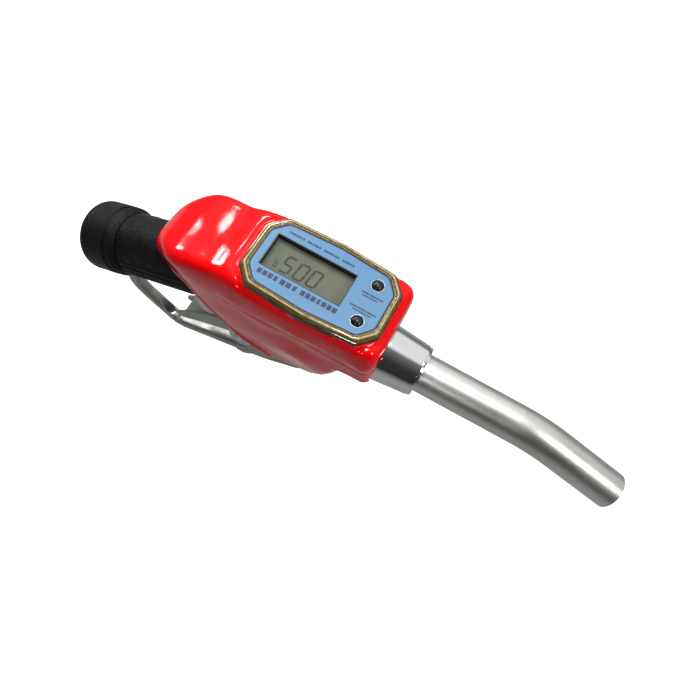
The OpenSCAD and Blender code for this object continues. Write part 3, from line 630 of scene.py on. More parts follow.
class Palette:
    """Makes each material once and hands it out by name."""

    def __init__(self) -> None:
        """Builds the shared groups and an empty store."""
        self.effects = ShaderEffects()
        self.store: dict[str, bpy.types.Material] = {}

    def get(self, name: str) -> bpy.types.Material:
        """Hands out a material and builds it on first use.

        Args:
            name: Name of a finish or of a clear plastic.

        Returns:
            The material.
        """
        if name not in self.store:
            if name in CLEAR_TINTS:
                self.store[name] = self._clear(name, CLEAR_TINTS[name])
            else:
                self.store[name] = self._solid(name, FINISHES[name])
        return self.store[name]

    def _start(self, name: str) -> tuple[bpy.types.Material, Nodes, bpy.types.Node]:
        """Starts a material.

        Args:
            name: Name of the material.

        Returns:
            The material, its node builder and its Principled shader.
        """
        material = bpy.data.materials.new(name)
        material.use_nodes = True
        nodes = Nodes(material.node_tree)
        return material, nodes, material.node_tree.nodes["Principled BSDF"]

    def _grain(self, nodes: Nodes, shape: GrainShape, seed: float) -> bpy.types.Node:
        """Places the grain group in a material.

        Args:
            nodes: Builder of the material's tree.
            shape: Sizes of the grain.
            seed: Place in the noise's fourth dimension.

        Returns:
            The group's node.
        """
        node = nodes.add("ShaderNodeGroup", node_tree=self.effects.grain)
        node.inputs["Scale"].default_value = tuple(1.0 / (s * MM) for s in shape.size)
        node.inputs["Detail"].default_value = shape.detail
        node.inputs["Seed"].default_value = seed
        return node

    def _solid(self, name: str, finish: Finish) -> bpy.types.Material:
        """Opaque material from a finish.

        Args:
            name: Name of the material.
            finish: Its colours and grain.

        Returns:
            The material.
        """
        material, nodes, shader = self._start(name)
        links = nodes.tree.links
        shape = GRAINS[finish.grain]
        grain = self._grain(nodes, shape, float(len(self.store)))
        fine = nodes.maths("MULTIPLY", grain.outputs["Mask"], 0.6)
        broad = nodes.maths("MULTIPLY", grain.outputs["Blotch"], 0.4)
        share = nodes.maths("MULTIPLY", nodes.maths("ADD", fine, broad), finish.tone_share)
        colour = nodes.mix(share, (*finish.base, 1.0), (*finish.tone, 1.0))
        # Hollows darkened towards a dim copy of the tone: painted shade.
        if finish.shade_in_hollows:
            hollow_shade = nodes.add("ShaderNodeGroup", {"Amount": finish.shade_in_hollows}, node_tree=self.effects.hollow_shade)
            shade_colour = tuple(0.35 * c for c in finish.tone)
            colour = nodes.mix(hollow_shade.outputs[0], colour, (*shade_colour, 1.0))
        # Raised edges lightened towards a bright colour: partly worn metal, partly painted highlight.
        if finish.wear_and_highlight:
            edge = nodes.add("ShaderNodeGroup", {"Amount": finish.wear_and_highlight}, node_tree=self.effects.edge)
            colour = nodes.mix(edge.outputs[0], colour, (*finish.worn_and_lit_colour, 1.0))
        links.new(colour, shader.inputs["Base Color"])
        swing = nodes.maths("SUBTRACT", grain.outputs["Blotch"], 0.5)
        spread = nodes.maths("MULTIPLY", swing, finish.rough_spread)
        links.new(nodes.maths("ADD", spread, finish.rough, True), shader.inputs["Roughness"])
        shader.inputs["Metallic"].default_value = finish.metallic
        shader.inputs["Coat Weight"].default_value = finish.coat
        shader.inputs["Coat Roughness"].default_value = 0.05
        shader.inputs["Specular IOR Level"].default_value = finish.specular
        shader.inputs["IOR"].default_value = finish.ior
        bump = nodes.add("ShaderNodeBump", {"Strength": 1.0, "Distance": shape.height * MM,
                                            "Height": grain.outputs["Height"]})
        links.new(bump.outputs[0], shader.inputs["Normal"])
        return material

    def _clear(self, name: str, tints: Sequence[Colour]) -> bpy.types.Material:
        """Clear moulded plastic that picks up streaks of colour from what lies below; its lighter and darker
        copies are painted highlight and painted shade.

        Args:
            name: Name of the material.
            tints: Colours of the streaks, evenly spaced.

        Returns:
            The material.
        """
        material, nodes, shader = self._start(name)
        grain = self._grain(nodes, GrainShape((5.0, 1.2, 0.5), 3.0, 0.0), 3.0)
        streak = nodes.ramp(grain.outputs["Mask"], [(i / (len(tints) - 1), (*tint, 1.0))
                                                    for i, tint in enumerate(tints)])
        nodes.tree.links.new(streak, shader.inputs["Base Color"])
        shader.inputs["Roughness"].default_value = 0.06
        shader.inputs["Transmission Weight"].default_value = 0.3
        shader.inputs["IOR"].default_value = 1.58
        shader.inputs["Specular IOR Level"].default_value = 0.3
        return material


PALETTE = Palette()


def dress(obj: bpy.types.Object, *materials: str) -> None:
    """Gives an object its materials.

    Args:
        obj: The piece.
        *materials: Names of its finishes, in slot order.
    """
    obj.data.materials.clear()
    for name in materials:
        obj.data.materials.append(PALETTE.get(name))


def install(obj: bpy.types.Object, body: str, slot: str, *nodes: str) -> None:
    """Parents a finished piece to its body's empty and hides the CAD nodes it stands for.

    Args:
        obj: The piece.
        body: CAD body it moves with.
        slot: Material slot of the record; not used.
        *nodes: CAD nodes it stands for.
    """
    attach(obj, body)
    if nodes:
        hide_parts(*nodes)
    LOG.info("%s: %d faces on %s", obj.name, len(obj.data.polygons), body)


# ---------------------------------------------------------------- geometry nodes

def finish_tree(nodes: Nodes, last: bpy.types.Node, out: bpy.types.Node, material: str) -> None:
    """Ends a tree in Realize Instances and Set Material.

    Args:
        nodes: Builder of the tree.
        last: The node that makes the geometry.
        out: The group's output node.
        material: Name of the finish.
    """
    real = nodes.add("GeometryNodeRealizeInstances", {0: last.outputs[0]})
    painted = nodes.add("GeometryNodeSetMaterial", {"Geometry": real.outputs[0],
                                                    "Material": PALETTE.get(material)})
    nodes.tree.links.new(painted.outputs[0], out.inputs[0])


def marks(name: str, spots: Sequence[tuple[float, float, float, float, float]], top: float, height: float,
          material: str) -> bpy.types.Object:
    """Lays flat bars on a plane with Geometry Nodes.

    Args:
        name: Name of the object.
        spots: (x, y, length, width, turn in degrees) of each bar, in millimetres.
        top: Height of the plane.
        height: Thickness of a bar.
        material: Name of its finish.

    Returns:
        A plain mesh with every bar.
    """
    seed = mesh_object(name + "_seed", np.array([[s[0], s[1], top + height / 2] for s in spots]), [])
    size = seed.data.attributes.new("size", "FLOAT_VECTOR", "POINT")
    turn = seed.data.attributes.new("turn", "FLOAT_VECTOR", "POINT")
    for i, (_, _, length, width, angle) in enumerate(spots):
        size.data[i].vector = (length * MM, width * MM, height * MM)
        turn.data[i].vector = (0.0, 0.0, math.radians(angle))
    tree = bpy.data.node_groups.new(name + "_tree", "GeometryNodeTree")
    tree.interface.new_socket("Geometry", in_out="INPUT", socket_type="NodeSocketGeometry")
    corner = tree.interface.new_socket("Corner", in_out="INPUT", socket_type="NodeSocketFloat")
    tree.interface.new_socket("Geometry", in_out="OUTPUT", socket_type="NodeSocketGeometry")
    nodes = Nodes(tree)
    given, out = nodes.add("NodeGroupInput"), nodes.add("NodeGroupOutput")
    bar = nodes.add("GeometryNodeMeshCube", {"Size": (1.0, 1.0, 1.0)})
    sizes = nodes.add("GeometryNodeInputNamedAttribute", {"Name": "size"}, data_type="FLOAT_VECTOR")
    turns = nodes.add("GeometryNodeInputNamedAttribute", {"Name": "turn"}, data_type="FLOAT_VECTOR")
    shrink = nodes.add("ShaderNodeVectorMath", {0: sizes.outputs[0]}, operation="SCALE")
    nodes.tree.links.new(given.outputs["Corner"], shrink.inputs["Scale"])
    placed = nodes.add("GeometryNodeInstanceOnPoints", {
        "Points": given.outputs["Geometry"], "Instance": bar.outputs["Mesh"],
        "Rotation": turns.outputs[0], "Scale": shrink.outputs[0]})
    finish_tree(nodes, placed, out, material)
    modifier = seed.modifiers.new("marks", "NODES")
    modifier.node_group = tree
    modifier[corner.identifier] = 1.0
    return plain_mesh(seed, name, material)


def coil(name: str, place: Sequence[float], tip: float, sizes: dict[str, float],
         material: str) -> bpy.types.Object:
    """Sweeps a round wire along a helix with Geometry Nodes.

    Args:
        name: Name of the object.
        place: Foot of the helix's axis, in millimetres.
        tip: Turn of the axis about Y away from +Z, in degrees.
        sizes: Values of the tree's inputs Radius, Wire, Height (millimetres) and Turns.
        material: Name of its finish.

    Returns:
        A plain mesh of the wire.
    """
    seed = mesh_object(name + "_seed", np.array([place]), [])
    tree = bpy.data.node_groups.new(name + "_tree", "GeometryNodeTree")
    tree.interface.new_socket("Geometry", in_out="INPUT", socket_type="NodeSocketGeometry")
    sockets = {label: tree.interface.new_socket(label, in_out="INPUT", socket_type="NodeSocketFloat")
               for label in sizes}
    tree.interface.new_socket("Geometry", in_out="OUTPUT", socket_type="NodeSocketGeometry")
    nodes = Nodes(tree)
    given, out = nodes.add("NodeGroupInput"), nodes.add("NodeGroupOutput")
    helix = nodes.add("GeometryNodeCurveSpiral", {"Resolution": 48, "Rotations": given.outputs["Turns"],
                                                  "Start Radius": given.outputs["Radius"],
                                                  "End Radius": given.outputs["Radius"],
                                                  "Height": given.outputs["Height"]})
    wire = nodes.add("GeometryNodeCurvePrimitiveCircle", {"Resolution": 10, "Radius": given.outputs["Wire"]})
    tube = nodes.add("GeometryNodeCurveToMesh", {"Curve": helix.outputs[0], "Profile Curve": wire.outputs[0],
                                                 "Fill Caps": True})
    placed = nodes.add("GeometryNodeTransform", {"Geometry": tube.outputs[0],
                                                 "Translation": tuple(v * MM for v in place),
                                                 "Rotation": (0.0, math.radians(tip), 0.0)})
    smooth = nodes.add("GeometryNodeSetShadeSmooth", {"Geometry": placed.outputs[0]})
    finish_tree(nodes, smooth, out, material)
    modifier = seed.modifiers.new("coil", "NODES")
    modifier.node_group = tree
    for label, value in sizes.items():
        modifier[sockets[label].identifier] = value if label == "Turns" else value * MM
    obj = plain_mesh(seed, name, material)
    face_outward(obj)
    return obj


def plain_mesh(source: bpy.types.Object, name: str, material: str) -> bpy.types.Object:
    """Turns an object's evaluated geometry into a plain mesh object and removes the source.

    Args:
        source: Object with the Geometry Nodes modifier.
        name: Name of the new object.
        material: Name of its finish.

    Returns:
        The plain object.
    """
    bpy.context.view_layer.update()
    evaluated = source.evaluated_get(bpy.context.evaluated_depsgraph_get())
    mesh = bpy.data.meshes.new_from_object(evaluated)
    mesh.name = name
    obj = bpy.data.objects.new(name, mesh)
    bpy.context.scene.collection.objects.link(obj)
    bpy.data.objects.remove(source)
    dress(obj, material)
    return obj


# ---------------------------------------------------------------- the nozzle's frame

@dataclass(frozen=True)
class HandleFrame:
    """The tilted axis of the handle.

    Attributes:
        tilt: Angle of the axis above +X, in degrees.
    """

    tilt: float = 24.0

    @property
    def along(self) -> Array:
        """Unit vector from the inlet to the valve."""
        t = math.radians(self.tilt)
        return np.array([math.cos(t), 0.0, math.sin(t)])

    @property
    def up(self) -> Array:
        """Unit vector out of the handle's top."""
        t = math.radians(self.tilt)
        return np.array([-math.sin(t), 0.0, math.cos(t)])

    def polar(self, x: Array, y: Array, z: Array) -> tuple[Array, Array]:
        """Places points relative to the handle's axis.

        Args:
            x: X coordinates.
            y: Y coordinates.
            z: Z coordinates.

        Returns:
            Distances along the axis and distances from it.
        """
        s = x * self.along[0] + z * self.along[2]
        rise = x * self.up[0] + z * self.up[2]
        return s, np.hypot(rise, y)

    def point(self, s: Array, r: Array, turn: Array) -> Array:
        """Points around the handle's axis.

        Args:
            s: Distances along the axis.
            r: Radii.
            turn: Turns from the top towards -Y, in radians.

        Returns:
            Points, one a row.
        """
        s, r, turn = np.broadcast_arrays(s, r, turn)
        return (s[..., None] * self.along + (r * np.cos(turn))[..., None] * self.up
                + (r * np.sin(turn))[..., None] * np.array([0.0, -1.0, 0.0]))


HANDLE = HandleFrame()
FLOW_Z = 44.5


def lathe(name: str, profile: Sequence[Point2], turns: int,
          swell: Optional[Callable[[Array, Array], Array]] = None, bare_r: float = 0.0) -> bpy.types.Object:
    """Turns a closed (distance, radius) outline about the handle's axis.

    Args:
        name: Name of the object.
        profile: Corners of the outline.
        turns: Points around.
        swell: Extra radius at (distance, turn), if any.
        bare_r: Radius up to which the outline gets no extra radius.

    Returns:
        The linked object.
    """
    turn = np.arange(turns) * 2 * math.pi / turns
    loops = []
    for s, r in profile:
        extra = swell(np.full(turns, s), turn) if swell and r > bare_r else 0.0
        loops.append(HANDLE.point(np.full(turns, s), r + extra, turn))
    return loft(name, loops)


# ---------------------------------------------------------------- red cover

@dataclass
class VinylCover:
    """Glossy red dip-moulded cover over the valve casting and the meter.

    Attributes:
        wall: Thickness of the vinyl.
        bead_r: Radius of the thickened lip.
        edge_k: Rounding between the sides and the top.
        voxel: Spacing of the sampled grid.
        groove_z: Height of the line along the meter's sides.
        wave: Height of the soft waviness.
        outline: Outline of the cover from the side, in (x, z).
        mouth: Outline that opens the cover's lower rear, in (x, z).
        half_width: Half width of the cover over (x, z).
    """

    wall: float = 2.2
    bead_r: float = 1.5
    edge_k: float = 7.5
    voxel: float = 1.0
    groove_z: float = 58.8
    wave: float = 0.11
    outline: list[Point2] = field(default_factory=lambda: rounded([
        (45.6, 36), (46.2, 46), (51, 58.5), (60, 69.5), (71, 76), (82, 79.3), (92, 80.3), (101, 84.6),
        (109, 85.9), (150, 86.1), (192, 85.8), (197.6, 80.5), (197.6, 30), (178.5, 30), (176.2, 20),
        (170.5, 0), (163, -14.5),
        (152, -23), (135, -26.2), (118, -30), (60, -30)], 6.0))
    mouth: list[Point2] = field(default_factory=lambda: rounded([
        (20, 42), (73, 42), (78, 35.5), (86, 23.5), (95, 8.5), (99.5, 1), (105, -4.5), (112, -8.5),
        (123, -13),
        (129, -20), (130, -50), (20, -50)], 3.5))
    half_width: ThinPlate = field(default_factory=lambda: ThinPlate([
        (44, 42, 2), (48, 43, 8.5), (52, 43, 10.5), (57, 43, 13.4), (63, 43, 16.6), (74, 42, 20.0),
        (54, 56, 16), (60, 64, 20), (69, 70, 25), (80, 72, 26), (95, 78, 25.5), (110, 80, 27.2),
        (150, 80, 27.6), (192, 80, 27),
        (110, 66, 27.6), (150, 66, 28.0), (192, 66, 27.4), (150, 57, 24.6), (192, 57, 24.2), (110, 50, 24.0),
        (150, 40, 21.5), (192, 36, 21), (85, 25, 19.0), (97, 6, 16.6), (106, -4, 15.2), (112, -18, 14.0),
        (125, -9, 14.4), (147, -20, 11.0), (147, -8, 13.4), (160, -12, 12.8), (167, 2, 16.0), (172, 25, 20.0),
        (130, 12, 18.4), (150, 20, 20.6), (84, 50, 23.4)]))

    def outside(self, x: Array, y: Array, z: Array) -> Array:
        """Field of the cover's outer form.

        Args:
            x: X coordinates.
            y: Y coordinates.
            z: Z coordinates.

        Returns:
            Distances, negative inside.
        """
        plan = polygon_distance(x, z, self.outline)
        eps = 0.5
        w = self.half_width(x, z)
        slope_x = (self.half_width(x + eps, z) - w) / eps
        slope_z = (self.half_width(x, z + eps) - w) / eps
        side = (np.abs(y) - w) / np.sqrt(1 + slope_x ** 2 + slope_z ** 2)
        form = smooth_max(plan, side, self.edge_k)
        on_side = smooth_step(98, 110, x) * smooth_step(0, 6, np.abs(y) - 12)
        groove = 0.65 * np.exp(-((z - self.groove_z) / 1.5) ** 2) * on_side
        below_line = smooth_step(self.groove_z + 0.8, self.groove_z - 0.8, z)
        step = 0.45 * below_line * on_side * smooth_step(52, 56, z)
        rim = polygon_distance(x, y, PANEL.outline(0.0))
        on_deck = smooth_step(80, 84, z)
        dip = 0.55 * np.exp(-((rim - 2.0) / 1.3) ** 2)
        swelling = 0.35 * np.exp(-((rim - 0.2) / 0.8) ** 2)
        valley = on_deck * (dip - swelling)
        ripple = self.wave * (np.sin(x / 4.6 + 1.3 * np.sin(z / 9)) * np.sin(z / 5.2 + 0.7) + np.sin(
            y / 4.1 + x / 7.7))
        return form + groove + step + valley + ripple

    def shape(self, x: Array, y: Array, z: Array) -> Array:
        """Field of the finished cover: a wall with its openings and its thick lip.

        Args:
            x: X coordinates.
            y: Y coordinates.
            z: Z coordinates.

        Returns:
            Distances, negative inside the vinyl.
        """
        form = self.outside(x, y, z)
        skin = np.abs(form + self.wall / 2) - self.wall / 2
        lip = polygon_distance(x, z, self.mouth)
        skin = smooth_max(skin, -lip, 0.8)
        s, r = HANDLE.polar(x, y, z)
        sleeve = np.maximum(r - GRIP.sleeve_r - 0.1, np.abs(s - 70) - 20)
        skin = np.maximum(skin, -sleeve)
        front = np.maximum(z - 35.0, 177.5 - x)
        skin = smooth_max(skin, -front, 0.8)
        bead = np.hypot(form + 0.65, lip) - self.bead_r
        bead = np.maximum(bead, 44.5 - x)
        skin = smooth_min(skin, bead, 0.8)
        collar = np.maximum(np.hypot(y, z - FLOW_Z) - 18.6, 190 - x)
        panel = np.maximum(polygon_distance(x, y, PANEL.outline(-0.5)), 80 - z)
        keel = np.maximum(np.maximum(np.abs(x - 139) - 18, np.abs(y) - 8), z + 17)
        for opening in (collar, panel, keel):
            skin = np.maximum(skin, -opening)
        return skin

    def build(self) -> None:
        """Meshes and dresses the cover."""
        obj = mesh_from_field("body_cover_vinyl", self.shape, (42, -32, -30), (201, 32, 90), self.voxel)
        dress(obj, "red_vinyl")
        install(obj, "nozzle", "red_vinyl", "body_cover")


# ---------------------------------------------------------------- grip

@dataclass
class HandleGrip:
    """Black grip sleeve with its ribs, and the crinkled knob around the inlet.

    Attributes:
        sleeve_r: Radius of the sleeve.
        sleeve_span: Ends of the sleeve along the handle.
        tube_r: Radius of the casting inside it.
        rib_turns: Turns of the raised ribs from the top, in degrees.
        rib_h: Height of a rib.
        rib_w: Half width of a rib, in degrees of turn.
        knob_r: Radius of the knob.
    """

    sleeve_r: float = 19.5
    sleeve_span: Point2 = (26.4, 84.0)
    tube_r: float = 16.45
    rib_turns: tuple[float, ...] = (78, 90, 102, 114)
    rib_h: float = 0.75
    rib_w: float = 3.1
    knob_r: float = 22.3

    def swell(self, s: Array, turn: Array) -> Array:
        """Ribs along the sleeve's sides and a slight unevenness on top.

        Args:
            s: Distances along the handle.
            turn: Turns from the top, in radians.

        Returns:
            Extra radii, in millimetres.
        """
        angle = np.degrees(np.abs((turn + math.pi) % (2 * math.pi) - math.pi))
        ribs = sum(np.exp(-((angle - a) / self.rib_w) ** 4) for a in self.rib_turns)
        ends = smooth_step(27.2, 29.5, s) * smooth_step(83.5, 81, s)
        bumps = 0.16 * np.sin(s / 2.1 + 2.0 * np.sin(turn * 3)) * np.sin(turn * 9 + s / 5.5) * (angle < 76)
        return (self.rib_h * ribs + bumps) * ends

    def sleeve(self) -> None:
        """Ribbed sleeve between the knob and the valve chamber."""
        start, end = self.sleeve_span
        stations = np.linspace(start + 1.0, end - 1.0, 60)
        profile = [(start, self.tube_r + 0.4), (start, self.sleeve_r - 0.9),
                   (start + 0.35, self.sleeve_r - 0.3)]
        profile += [(float(s), self.sleeve_r) for s in stations]
        profile += [(end - 0.35, self.sleeve_r - 0.3), (end, self.sleeve_r - 0.9), (end, self.tube_r + 0.4)]
        profile += [(end - 0.4, self.tube_r), (start + 0.4, self.tube_r)]
        obj = lathe("grip_sleeve", profile, 240, self.swell, bare_r=18.0)
        sharpen(obj, 50)
        dress(obj, "black_grip")
        install(obj, "nozzle", "black_grip", "handle_sleeve")

    def knob(self) -> None:
        """Knob with a domed rear, a small ring step and a chamfer to the sleeve."""
        r, rear, mouth = self.knob_r, -4.0, 16.0
        arc = [(rear + 6.5 - 6.5 * math.cos(a), r - 6.5 + 6.5 * math.sin(a))
               for a in np.linspace(0, math.pi / 2, 12)]
        body = [(4.0, r), (8.0, r), (12.0, r), (16.0, r), (17.4, r), (17.9, r - 0.1), (18.3, r - 0.7),
                (18.9, r - 0.85), (20.2, r - 0.85), (20.7, r - 0.75), (21.1, r - 0.2), (22.3, r - 0.25),
                (23.0, r - 0.6), (25.4, 19.9), (26.0, 19.2), (26.0, 18.4), (0.0, 18.4), (-0.4, mouth + 1.4),
                (-1.6, mouth), (-3.2, mouth + 0.1), (-3.8, mouth + 0.7)]
        obj = lathe("end_knob_shell", arc + body, 160)
        sharpen(obj, 40)
        dress(obj, "black_grip")
        install(obj, "nozzle", "black_grip", "end_knob")

    def build(self) -> None:
        """Builds both pieces."""
        self.sleeve()
        self.knob()


# ---------------------------------------------------------------- meter panel

@dataclass
class MeterPanel:
    """Clear faceplate, label print, display digits and button rings.

    Attributes:
        centre_x: Middle of the panel.
        length: Length of the faceplate.
        width: Width at its ends.
        bow: How far the long sides stand out at their middle.
        corner: Cuts at the corners along and across.
        label_z: Height of the label's face.
        lcd: Middle and size of the display window, as (x, y, length, width).
        lcd_z: Height of the display's face.
        button: X, Y and radius of a button.
        border: How far the printed border's edges lie from the panel's outline.
        ink: Thickness of the print.
    """

    centre_x: float = 150.0
    length: float = 84.8
    width: float = 49.2
    bow: float = 1.9
    corner: Point2 = (9.0, 10.0)
    label_z: float = 88.5
    lcd: tuple[float, float, float, float] = (141.0, 1.0, 49.0, 22.2)
    lcd_z: float = 84.8
    button: tuple[float, float, float] = (177.5, 12.3, 3.3)
    border: Point2 = (-4.32, -5.0)
    ink: float = 0.06

    def outline(self, grow: float, soften: float = 2.2) -> list[Point2]:
        """Long octagon of the panel, grown on all sides, with softened corners.

        Args:
            grow: Distance that the outline moves outward.
            soften: Reach of the rounding at each corner.

        Returns:
            Points in (x, y).
        """
        a, b = self.length / 2 + grow, self.width / 2 + grow
        c, d = self.corner[0] + 0.4 * grow, self.corner[1] + 0.4 * grow
        quarter = [(a - c, b), (0, b + self.bow), (c - a, b), (-a, b - d), (-a, d - b), (c - a, -b),
                   (0, -b - self.bow), (a - c, -b), (a, d - b), (a, b - d)]
        return rounded([(self.centre_x + x, y) for x, y in quarter], soften, 4)

    def loop(self, grow: float, z: float) -> Array:
        """Outline at one height as an array of points."""
        return np.array([(x, y, z) for x, y in self.outline(grow)])

    def faceplate(self) -> None:
        """Clear rim with its stepped and crowned section, its bands given painted highlight and painted
        shade.
        """
        section = [(0.0, 82.3), (0.0, 86.3), (-0.15, 87.0), (-0.45, 87.35), (-0.75, 87.4), (-1.0, 87.9),
                   (-1.45, 88.75), (-1.9, 89.1), (-2.3, 89.26), (-2.8, 89.3), (-3.1, 89.12), (-3.35, 89.05),
                   (-3.7, 89.0), (-4.0, 88.7), (-4.25, 88.2), (-6.4, 88.18), (-6.5, 85.3), (-6.5, 82.3)]
        obj = loft("faceplate_rim", [self.loop(g, z) for g, z in section])
        sharpen(obj, 28)
        dress(obj, *CLEAR_TINTS)
        # Band colours: 0 plain clear plastic, 1 its painted-highlight copy, 2 its painted-shade copy.
        painted_light_band = (2, 2, 2, 2, 0, 0, 0, 1, 1, 2, 0, 0, 1, 0, 2, 2, 2, 2)
        size = len(obj.data.polygons) // len(section)
        for i, polygon in enumerate(obj.data.polygons):
            polygon.material_index = painted_light_band[i // size]
        install(obj, "nozzle", "clear_plastic", "faceplate")

    def print_marks(self) -> None:
        """Plain bars and lines that stand for the label's print, and its navy border."""
        lines = [(124.25, -13.3, 12.9, 3.1), (136.8, -13.3, 10.8, 3.1), (154.85, -13.3, 22.3, 3.1),
                 (125.7, 15.8, 9.9, 1.3), (136.4, 15.8, 8.5, 1.3), (147.1, 15.8, 9.5, 1.3),
                 (157.5, 15.8, 7.6, 1.3), (177.8, 5.0, 13.0, 1.0), (177.2, 3.2, 9.0, 0.8),
                 (177.2, -5.0, 16.0, 1.0), (177.2, -6.8, 11.0, 0.8)]
        bars = []
        for x, y, length, width in lines:
            count = max(2, round(length / (width * 1.05)))
            pitch = length / count
            for i in range(count):
                share = 0.78 if (i * 7 + int(x)) % 5 else 0.55
                bars.append((x - length / 2 + pitch * (i + 0.5), y, pitch * share, width, 0))
        obj = marks("label_print", bars, self.label_z, self.ink, "label_navy")
        install(obj, "nozzle", "label_blue")
        low, high = self.label_z, self.label_z + self.ink + 0.01
        outer, inner = self.border
        border = loft("label_border", [self.loop(outer, low), self.loop(outer, high), self.loop(inner, high),
                                       self.loop(inner, low)])
        sharpen(border, 30)
        dress(border, "label_navy")
        install(border, "nozzle", "label_blue")

    def display(self) -> None:
        """Seven-segment digits with their unit marks, and the dark frame of the window: partly the display's
        border, partly painted shade on the window's walls.
        """
        x0, y0, length, width = self.lcd
        digit_w, digit_h, stroke, lean = 5.0, 10.4, 1.15, 0.12
        places = {"a": (0, 1, 0), "b": (1, 0.5, 90), "c": (1, -0.5, 90), "d": (0, -1, 0), "e": (-1, -0.5, 90),
                  "f": (-1, 0.5, 90), "g": (0, 0, 0)}
        glyphs = {"5": "afgcd", "0": "abcdef"}
        spots = []
        for (cx, cy), digit in zip(((129.8, -0.9), (138.1, -1.1), (146.0, -0.9)), "500"):
            for segment in glyphs[digit]:
                u, v, turn = places[segment]
                y = cy + v * digit_h / 2
                x = cx + u * digit_w / 2 + lean * (y - cy)
                run = digit_w * 0.86 if turn == 0 else digit_h / 2 * 0.9
                spots.append((x, y, run, stroke, turn - (math.degrees(math.atan(lean)) if turn else 0)))
        for i in range(3):
            spots.append((123.6, -5.2 + 1.6 * i, 2.0, 0.7, 0))
        digits = marks("display_digits", spots, self.lcd_z, self.ink, "lcd_ink")
        install(digits, "nozzle", "lcd_grey")

        def box(grow: float, z: float) -> Array:
            """Corners of the window, grown on all sides, at one height."""
            a, b = length / 2 + grow, width / 2 + grow
            signs = ((1, 1), (-1, 1), (-1, -1), (1, -1))
            return np.array([(x0 + sx * a, y0 + sy * b, z) for sx, sy in signs])

        # Black walls of the window: partly the display's dark border, partly painted shade.
        top = self.label_z - 0.05
        border_and_shade = loft("display_border_and_shade", [box(-0.05, self.lcd_z), box(-0.05, top), box(-0.55, top),
                                       box(-0.8, self.lcd_z)], smooth=False)
        dress(border_and_shade, "black_plastic")
        install(border_and_shade, "nozzle", "black_plastic")

    def button_edge_glints(self) -> None:
        """Bright broken ring around each button: painted highlight standing for the glints on the edge of the
        button's hole.
        """
        x, y, r = self.button
        ring_r, count, width = r + 0.42, 40, 0.3
        spots = []
        for side in (-1, 1):
            for i in range(count):
                if (i + 3 * side) % 13 in (4, 5):
                    continue
                a = 2 * math.pi * i / count
                spots.append((x + ring_r * math.cos(a), side * y + ring_r * math.sin(a),
                              2 * math.pi * r / count * 1.25, width, math.degrees(a) + 90))
        obj = marks("button_edge_glints", spots, self.label_z, self.ink, "bright_steel")
        install(obj, "nozzle", "bright_steel")

    def build(self) -> None:
        """Builds the panel's pieces."""
        self.faceplate()
        self.print_marks()
        self.display()
        self.button_edge_glints()


# ---------------------------------------------------------------- lever and guard

